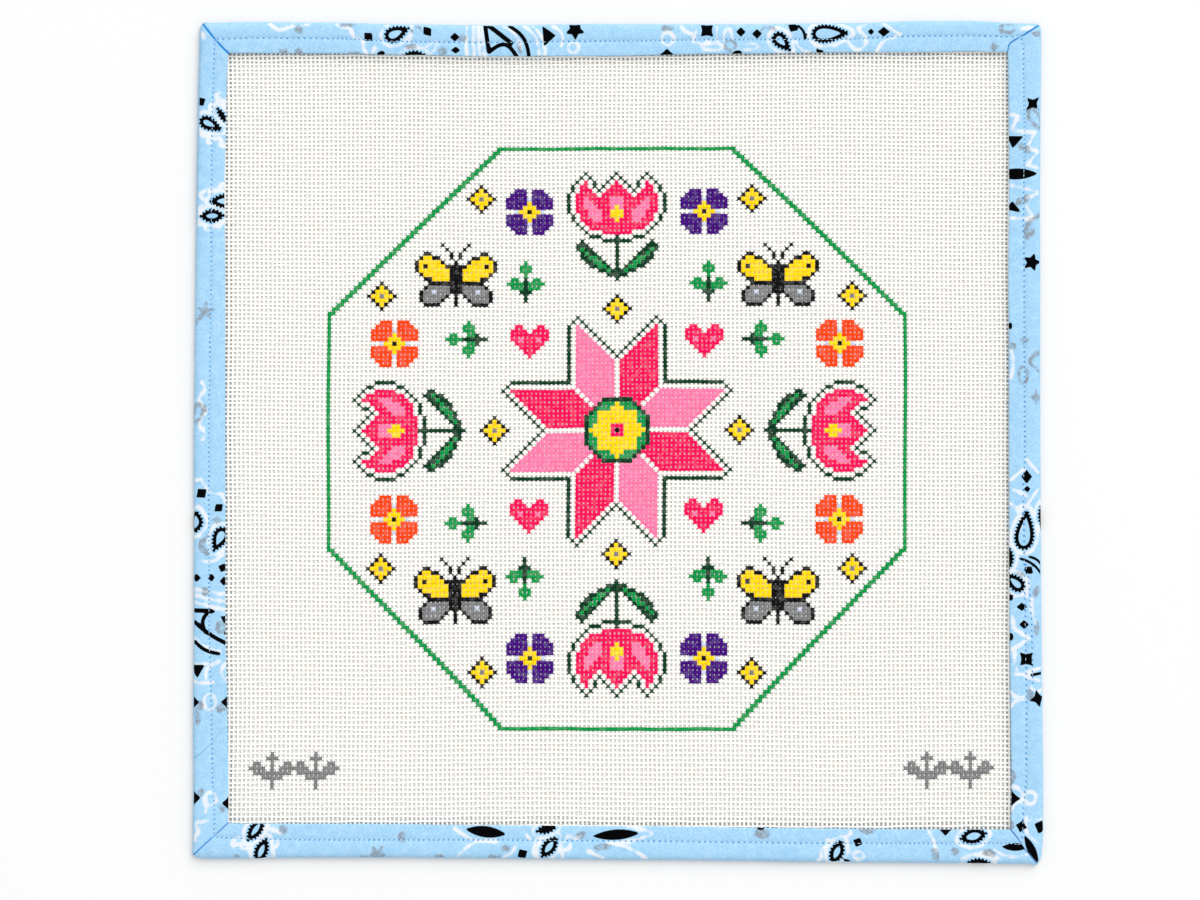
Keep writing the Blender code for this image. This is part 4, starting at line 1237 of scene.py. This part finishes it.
def make_binding():
    """The strip as one closed mesh, with its print, sewing and the painted shade of its mitre folds stored
    at its points.

    Also the two rows of sewing, each as points and the count of stitches up to them, and the
    length of the strip."""
    folds = strip_ring(fold_line, CORNER_RADIUS)
    hems = strip_ring(hem_line, HEM_CORNER_RADIUS)
    side_of, along_of, width, sewing = station_facts()
    distance, height, printed = section_columns(width, sewing)
    count = len(distance)
    share = distance / width[:, None]
    nearness = 1 - RAISED_LOOK * (0.3 + 0.7 * share)
    x, y = (
        (fold[:, None] + (hem - fold)[:, None] * share) * nearness
        for fold, hem in zip(folds.T, hems.T))
    upper = height > LEAF_TOP * 0.6
    face = np.where(upper, np.clip(share * 4, 0, 1), 0.0)       # 0 at the fold, 1 on the leaf

    # The sewing, and how the cloth lies between it, the fold and the hem.
    steps = np.hypot(*np.diff(np.vstack([folds, folds[:1]]), axis=0).T)
    second = np.where(side_of == 1, np.interp(along_of / MM, *SECOND_ROW), 0.0)[:, None] * MM
    from_first = distance - sewing[:, None]
    from_sewing = np.abs(from_first + second / 2) - second / 2
    pitch = np.array([np.interp(a / MM, *STITCH_PITCHES[side]) for side, a in zip(side_of, along_of)])
    passed = steps / (pitch * MM)
    stitches_round = round(float(passed.sum()))
    turns = np.concatenate([[0.0], np.cumsum(passed)[:-1]]) * stitches_round / passed.sum()
    phase = np.broadcast_to(turns[:, None], x.shape)
    dip = SEWING_DIP * np.exp(-(from_sewing / SEWING_DIP_WIDTH) ** 2)
    drape = DRAPE * (np.sin(x * 95 + y * 70) + 0.7 * np.sin(x * 240 - y * 180 + 1.0))
    pucker = SEWING_GRAIN * np.sin(2 * math.pi * phase) * np.exp(-(from_sewing / GRAIN_WIDTH) ** 2)
    height = height + face * (drape + pucker)
    height = height - np.where(upper, NOSE_DROOP * smooth(share), 0.0)
    height = np.where(printed & upper, height - dip * (share > 0.1), height)

    # The mitres, each a fold of one side over the next that strays a little from its straight line.
    painted_crease_shade = np.full(x.shape, FAR)
    fold_column = int(np.argmin(np.abs(distance[0]) + np.where(printed, 0, 1)))
    runs = np.array([BINDING_SIDES[index].axis for index in side_of], float)
    for corner in range(4):
        middle = corner * (SIDE_STATIONS + CORNER_STATIONS) + SIDE_STATIONS + CORNER_STATIONS // 2
        line = hems[middle] - folds[middle]
        line = line / np.hypot(*line)
        across = (x - x[middle, fold_column]) * -line[1] + (y - y[middle, fold_column]) * line[0]
        ahead = (np.arange(count) - middle) % count
        ahead = np.where(ahead > count / 2, ahead - count, ahead)
        near = (np.abs(ahead) < MITRE_STATIONS)[:, None]
        sense = np.sign((across * near * ahead[:, None]).sum()) or 1.0
        across = across * sense
        strays = np.interp(share, *MITRE_BENDS[corner]) * MM * np.exp(-(across / BEND_REACH) ** 2)
        away = np.array([-line[1], line[0]]) * sense
        straight = smooth(np.abs(across) / BEND_TURNS)[..., None]
        kept = runs * (runs @ away)[:, None]
        shift = away * (1 - straight) + kept[:, None, :] * straight
        x = x + np.where(near, strays * shift[..., 0], 0.0)
        y = y + np.where(near, strays * shift[..., 1], 0.0)
        over = MITRE_RISE * (1 - smooth(across / MITRE_REACH))
        rounded = MITRE_START + (1 - MITRE_START) * np.sqrt(np.clip(across / MITRE_EDGE, 0, 1))
        rise = np.where(across > 0, over * rounded, UNDER_RISE)
        rise -= MITRE_CREASE * np.exp(-((across + CREASE_AT) / CREASE_WIDTH) ** 2)
        rise *= np.where(across > 0, 1.0, 1 - smooth(-across / MITRE_REACH))
        height = np.where(near, height + face * rise, height)
        # A line of painted shade runs along each mitre's fold.
        crease_shade_faint = np.interp(share, (0, 1), CREASE_SHADE_FAINTNESS[corner])
        crease_shade_faint = crease_shade_faint + CREASE_SHADE_PINCH * np.exp(-(from_first / MM) ** 2)
        painted_crease_shade = np.where(near, np.minimum(painted_crease_shade, np.abs(across) / MM + crease_shade_faint), painted_crease_shade)

    # The print, at each point's own millimetres along its side and inward, and the joining seam.
    a = np.zeros(x.shape)
    b = np.zeros(x.shape)
    fields = np.tile([FAR, FAR, FAR, -FAR, 0.0, 0.0], (*x.shape, 1))
    for index, side in enumerate(BINDING_SIDES):
        here = side_of == index
        off_x = x[here] * (1 + RAISED_LOOK) - side.start[0]
        off_y = y[here] * (1 + RAISED_LOOK) - side.start[1]
        a[here] = (off_x * side.axis[0] + off_y * side.axis[1]) / MM
        b[here] = (off_x * side.inward[0] + off_y * side.inward[1]) / MM
    below = (LEAF_TOP - height) / MM
    b = np.where(printed & ~upper, fold_b(side_of, a) - below, b)
    for index, side in enumerate(BINDING_SIDES):
        block = np.ix_(side_of == index, printed)
        flat = print_marks(MARKS[side.name], a[block].ravel(), b[block].ravel())
        fields[block] = flat.reshape(*a[block].shape, 6)
    off_seam = np.clip((a - np.interp(b, *JOIN_SEAM)) * SEAM_SLANT, -SEAM_STOPS, SEAM_STOPS)
    off_seam = np.where((side_of == 3)[:, None] & printed, off_seam, -SEAM_STOPS)
    height = height - np.where(upper, SEAM_DIP * np.exp(-(off_seam / SEAM_DIP_WIDTH) ** 2), 0.0)

    points = np.stack([x, y, height], axis=2).reshape(-1, 3)
    numbers = np.arange(len(points)).reshape(x.shape)
    beside = np.roll(numbers, -1, axis=1)
    quads = np.stack([numbers, beside, np.roll(beside, -1, axis=0), np.roll(numbers, -1, axis=0)], axis=2)
    quads = quads.reshape(-1, 4)
    mesh = bpy.data.meshes.new("binding_cloth")
    mesh.from_pydata(points.tolist(), [], quads.tolist())
    corners = points[quads]
    normal = np.cross(corners[:, 2] - corners[:, 0], corners[:, 3] - corners[:, 1])
    if (normal * corners.mean(axis=1)).sum() < 0:
        mesh.flip_normals()
    across_mm = np.where(printed & upper, from_sewing / MM, FAR)
    # The third number of the sewing is the distance to the painted shade along a mitre's fold.
    painted_crease_shade = np.where(printed, painted_crease_shade, FAR)
    store(mesh, {
        "ink": fields[..., :3],
        "teeth": fields[..., 3:6],
        "sewing": np.stack([phase, across_mm, painted_crease_shade], axis=2),
        "seam": np.stack([off_seam, b, a], axis=2),
    })
    mesh.shade_smooth()
    mesh.update()

    face_columns = np.nonzero(printed & upper[0])[0][::-1]
    rows = []
    for out in (0.0, 1.0):
        used = np.nonzero(second[:, 0] >= SECOND_ROW_LEAST * out)[0]
        row = [[np.interp(sewing[i] - second[i, 0] * out, distance[i, face_columns], field[i, face_columns])
                for field in (x, y, height)] for i in used]
        rows.append((np.array(row), phase[used, 0]))
    return new_object("binding_cloth", mesh), rows, float(steps.sum())


TOOTH_LENGTH = 0.68             # millimetres
INK_SPREAD = 0.16


def binding_material():
    """Pale blue cotton with its print, and painted shade in its needle holes and along its mitre folds."""
    material, add, shader = shader_tree("printed_binding_cotton")
    ink, teeth, sewing, seam = (parts(add, name) for name in ("ink", "teeth", "sewing", "seam"))
    mottle = noise(add, 260.0, 3.0)
    cloudy = noise(add, 40.0)
    ragged = scaled(add, noise(add, 900.0), 0.5, -0.25)

    blue = mixed(add, cloudy, (0.265, 0.489, 0.699), (0.356, 0.573, 0.745))
    blue = mixed(add, scaled(add, mottle, 3.0, -1.0, 0.0, 1.0), blue, (0.376, 0.588, 0.757))
    threads = scaled(add, noise(add, 1100.0, 1.0), 2.4, -0.9, 0.0, 0.6)
    blue = mixed(add, threads, blue, (0.243, 0.463, 0.682))

    uneven = scaled(add, noise(add, 210.0), 2.6, -1.3)
    white_edge = maths(add, "ADD", maths(add, "ADD", ink[1], ragged), uneven)
    white_share = scaled(add, white_edge, -1.1, 0.55, 0.0, 0.84)
    colour = mixed(add, white_share, blue, (0.71, 0.715, 0.725))
    bitten = scaled(add, noise(add, 400.0, 3.0), 2.8, -1.4)
    grey_share = scaled(add, maths(add, "ADD", ink[2], bitten), -1.1, 0.78, 0.0, 0.82)
    patchy = scaled(add, noise(add, 650.0, 3.0), 3.0, -0.7, 0.45, 1.0)
    colour = mixed(add, maths(add, "MULTIPLY", grey_share, patchy), colour, (0.20, 0.215, 0.24))

    # Painted shade in the needle holes between the stitches.
    place = maths(add, "SUBTRACT", sewing[0], maths(add, "ROUND", sewing[0]))
    along = maths(add, "MULTIPLY", place, STITCH_PITCH / MM)
    needle_hole_shade = maths(add, "SQRT", maths(add, "ADD", maths(add, "MULTIPLY", along, along),
                                   maths(add, "MULTIPLY", sewing[1], sewing[1])))
    needle_hole_shade = scaled(add, needle_hole_shade, -5.5, scaled(add, mottle, 3.4, 0.85), 0.0, 0.92)
    colour = mixed(add, needle_hole_shade, colour, (0.032, 0.215, 0.520))
    off_seam = maths(add, "ABSOLUTE", seam[0])
    strength = scaled(add, seam[1], -0.12, 1.30, 0.30, 0.75)
    seam_share = scaled(add, off_seam, -5.0, 1.8, 0.0, 1.0)
    colour = mixed(add, maths(add, "MULTIPLY", seam_share, strength), colour, (0.150, 0.330, 0.540))
    # Painted shade along the mitre folds.
    painted_crease_shade = scaled(add, sewing[2], -6.0, 2.9, 0.0, 0.95)
    colour = mixed(add, painted_crease_shade, colour, (0.004, 0.185, 0.520))

    wave = scaled(add, maths(add, "COSINE", teeth[1]), 0.75, 0.55, 0.0, 1.0)
    tooth = maths(add, "MULTIPLY", maths(add, "MULTIPLY", wave, teeth[2]), TOOTH_LENGTH)
    outer = maths(add, "SUBTRACT", ink[0], tooth)
    outer = maths(add, "ADD", outer, maths(add, "MULTIPLY", ragged, 0.25))
    outer = scaled(add, outer, -7.0, 0.5 + 7.0 * INK_SPREAD, 0.0, 1.0)
    clear = scaled(add, teeth[0], -7.0, 0.5, 0.0, 1.0)
    fill(shader, {
        "Base Color": mixed(add, maths(add, "MULTIPLY", outer, clear), colour, (0.0015, 0.0015, 0.002)),
        "Roughness": 0.85,
        "Specular IOR Level": 0.015,
        "Normal": add("ShaderNodeBump", Strength=0.20, Distance=0.08 * MM, Height=noise(add, 2400.0)),
    })
    return material


STITCH_RADIUS = 0.15 * MM
STITCH_SHARE = 0.60             # of the pitch that shows between two needle holes
STITCH_LIFT = 0.02 * MM


def stitch_shape(add):
    """A short round thread along +X, a little thinner at its ends."""
    ball = add("GeometryNodeMeshUVSphere", Segments=6, Rings=4, Radius=1.0)
    return add("GeometryNodeTransform", Geometry=ball, Rotation=(0.0, math.radians(90), 0.0))


def stitch_points(rows, on_face):
    """One point for each stitch of both rows, on the upper face or under the lower one."""
    places, turns, sizes = [], [], []
    rng = np.random.default_rng(5)
    for line, phase in rows:
        for number in range(math.ceil(phase[0]), math.floor(phase[-1])):
            middle = number + 0.5
            x, y, z = (np.interp(middle, phase, line[:, k]) for k in range(3))
            ahead_x, ahead_y = (np.interp(middle + 0.3, phase, line[:, k]) for k in range(2))
            turn = math.atan2(ahead_y - y, ahead_x - x) + rng.normal(0, 0.03)
            half_length = STITCH_PITCH * STITCH_SHARE / 2 * rng.uniform(0.9, 1.1)
            places.append((x, y, z * on_face + STITCH_LIFT))
            turns.append((0.0, 0.0, turn))
            sizes.append((half_length, STITCH_RADIUS, STITCH_RADIUS))
    return make_source("stitch_points", places, {"turn": turns, "size": sizes})


def thread_cotton():
    """The smooth pale blue thread of the topstitching."""
    material, add, shader = shader_tree("pale_sewing_thread")
    colour = mixed(add, noise(add, 3000.0), (0.42, 0.62, 0.80), (0.52, 0.70, 0.84))
    fill(shader, {"Base Color": colour, "Roughness": 0.7, "Specular IOR Level": 0.2})
    return material


binding_cloth, sewing_rows, strip_length = make_binding()
binding_cloth.data.materials.append(binding_material())
sewing_thread = thread_cotton()
stitch_tree = scatter_tree("stitches", stitch_shape)
stitches = [
    grow(stitch_points(sewing_rows, on_face), name, stitch_tree, {"Material": sewing_thread})
    for on_face, name in ((1, "stitches_on_face"), (0, "stitches_underneath"))
]
for piece in (binding_cloth, *stitches):
    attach(piece, "root")
    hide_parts("binding")

# ---------------------------------------------------------------- floor, light and camera
# A plain white table top, one large soft light from the upper right, and the camera straight
# above, a little off the panel's middle.

FLOOR_REACH = 3.0
CAMERA_HEIGHT = 1.6
VIEW_WIDTH = 0.5377                     # of the table top, across the whole picture
VIEW_MIDDLE = (-8.0 * MM, -3.1 * MM)
SENSOR = 36.0 * MM
WINDOW_SIZE = 9.5
WINDOW_POWER = 1048.0

floor_mesh = bpy.data.meshes.new("floor")
floor_corners = [(x * FLOOR_REACH, y * FLOOR_REACH, 0) for x, y in ((-1, -1), (1, -1), (1, 1), (-1, 1))]
floor_mesh.from_pydata(floor_corners, [], [(0, 1, 2, 3)])
table_top, add, shader = shader_tree("white_table")
fill(shader, {"Base Color": (0.737, 0.734, 0.731, 1.0), "Roughness": 0.9, "Specular IOR Level": 0.1})
floor_mesh.materials.append(table_top)
new_object("floor", floor_mesh)

lamp = bpy.data.lights.new("window", "AREA")
lamp.shape = "RECTANGLE"
lamp.size = WINDOW_SIZE
lamp.size_y = WINDOW_SIZE
lamp.energy = WINDOW_POWER
lamp.color = (1.0, 0.99, 0.97)
window = new_object("window", lamp)
window.location = (4.8, 8.4, 7.6)
window.rotation_euler = (-window.location).to_track_quat("-Z", "Y").to_euler()

world = bpy.data.worlds.new("studio")
world.use_nodes = True
fill(world.node_tree.nodes["Background"], {"Color": (0.98, 0.99, 1.0, 1.0), "Strength": 1.005})
bpy.context.scene.world = world

lens = bpy.data.cameras.new("camera")
lens.sensor_width = SENSOR / MM
lens.lens = lens.sensor_width * CAMERA_HEIGHT / VIEW_WIDTH
camera = new_object("camera", lens)
camera.location = (*VIEW_MIDDLE, CAMERA_HEIGHT)
bpy.context.scene.camera = camera
bpy.context.scene.view_settings.view_transform = "Standard"
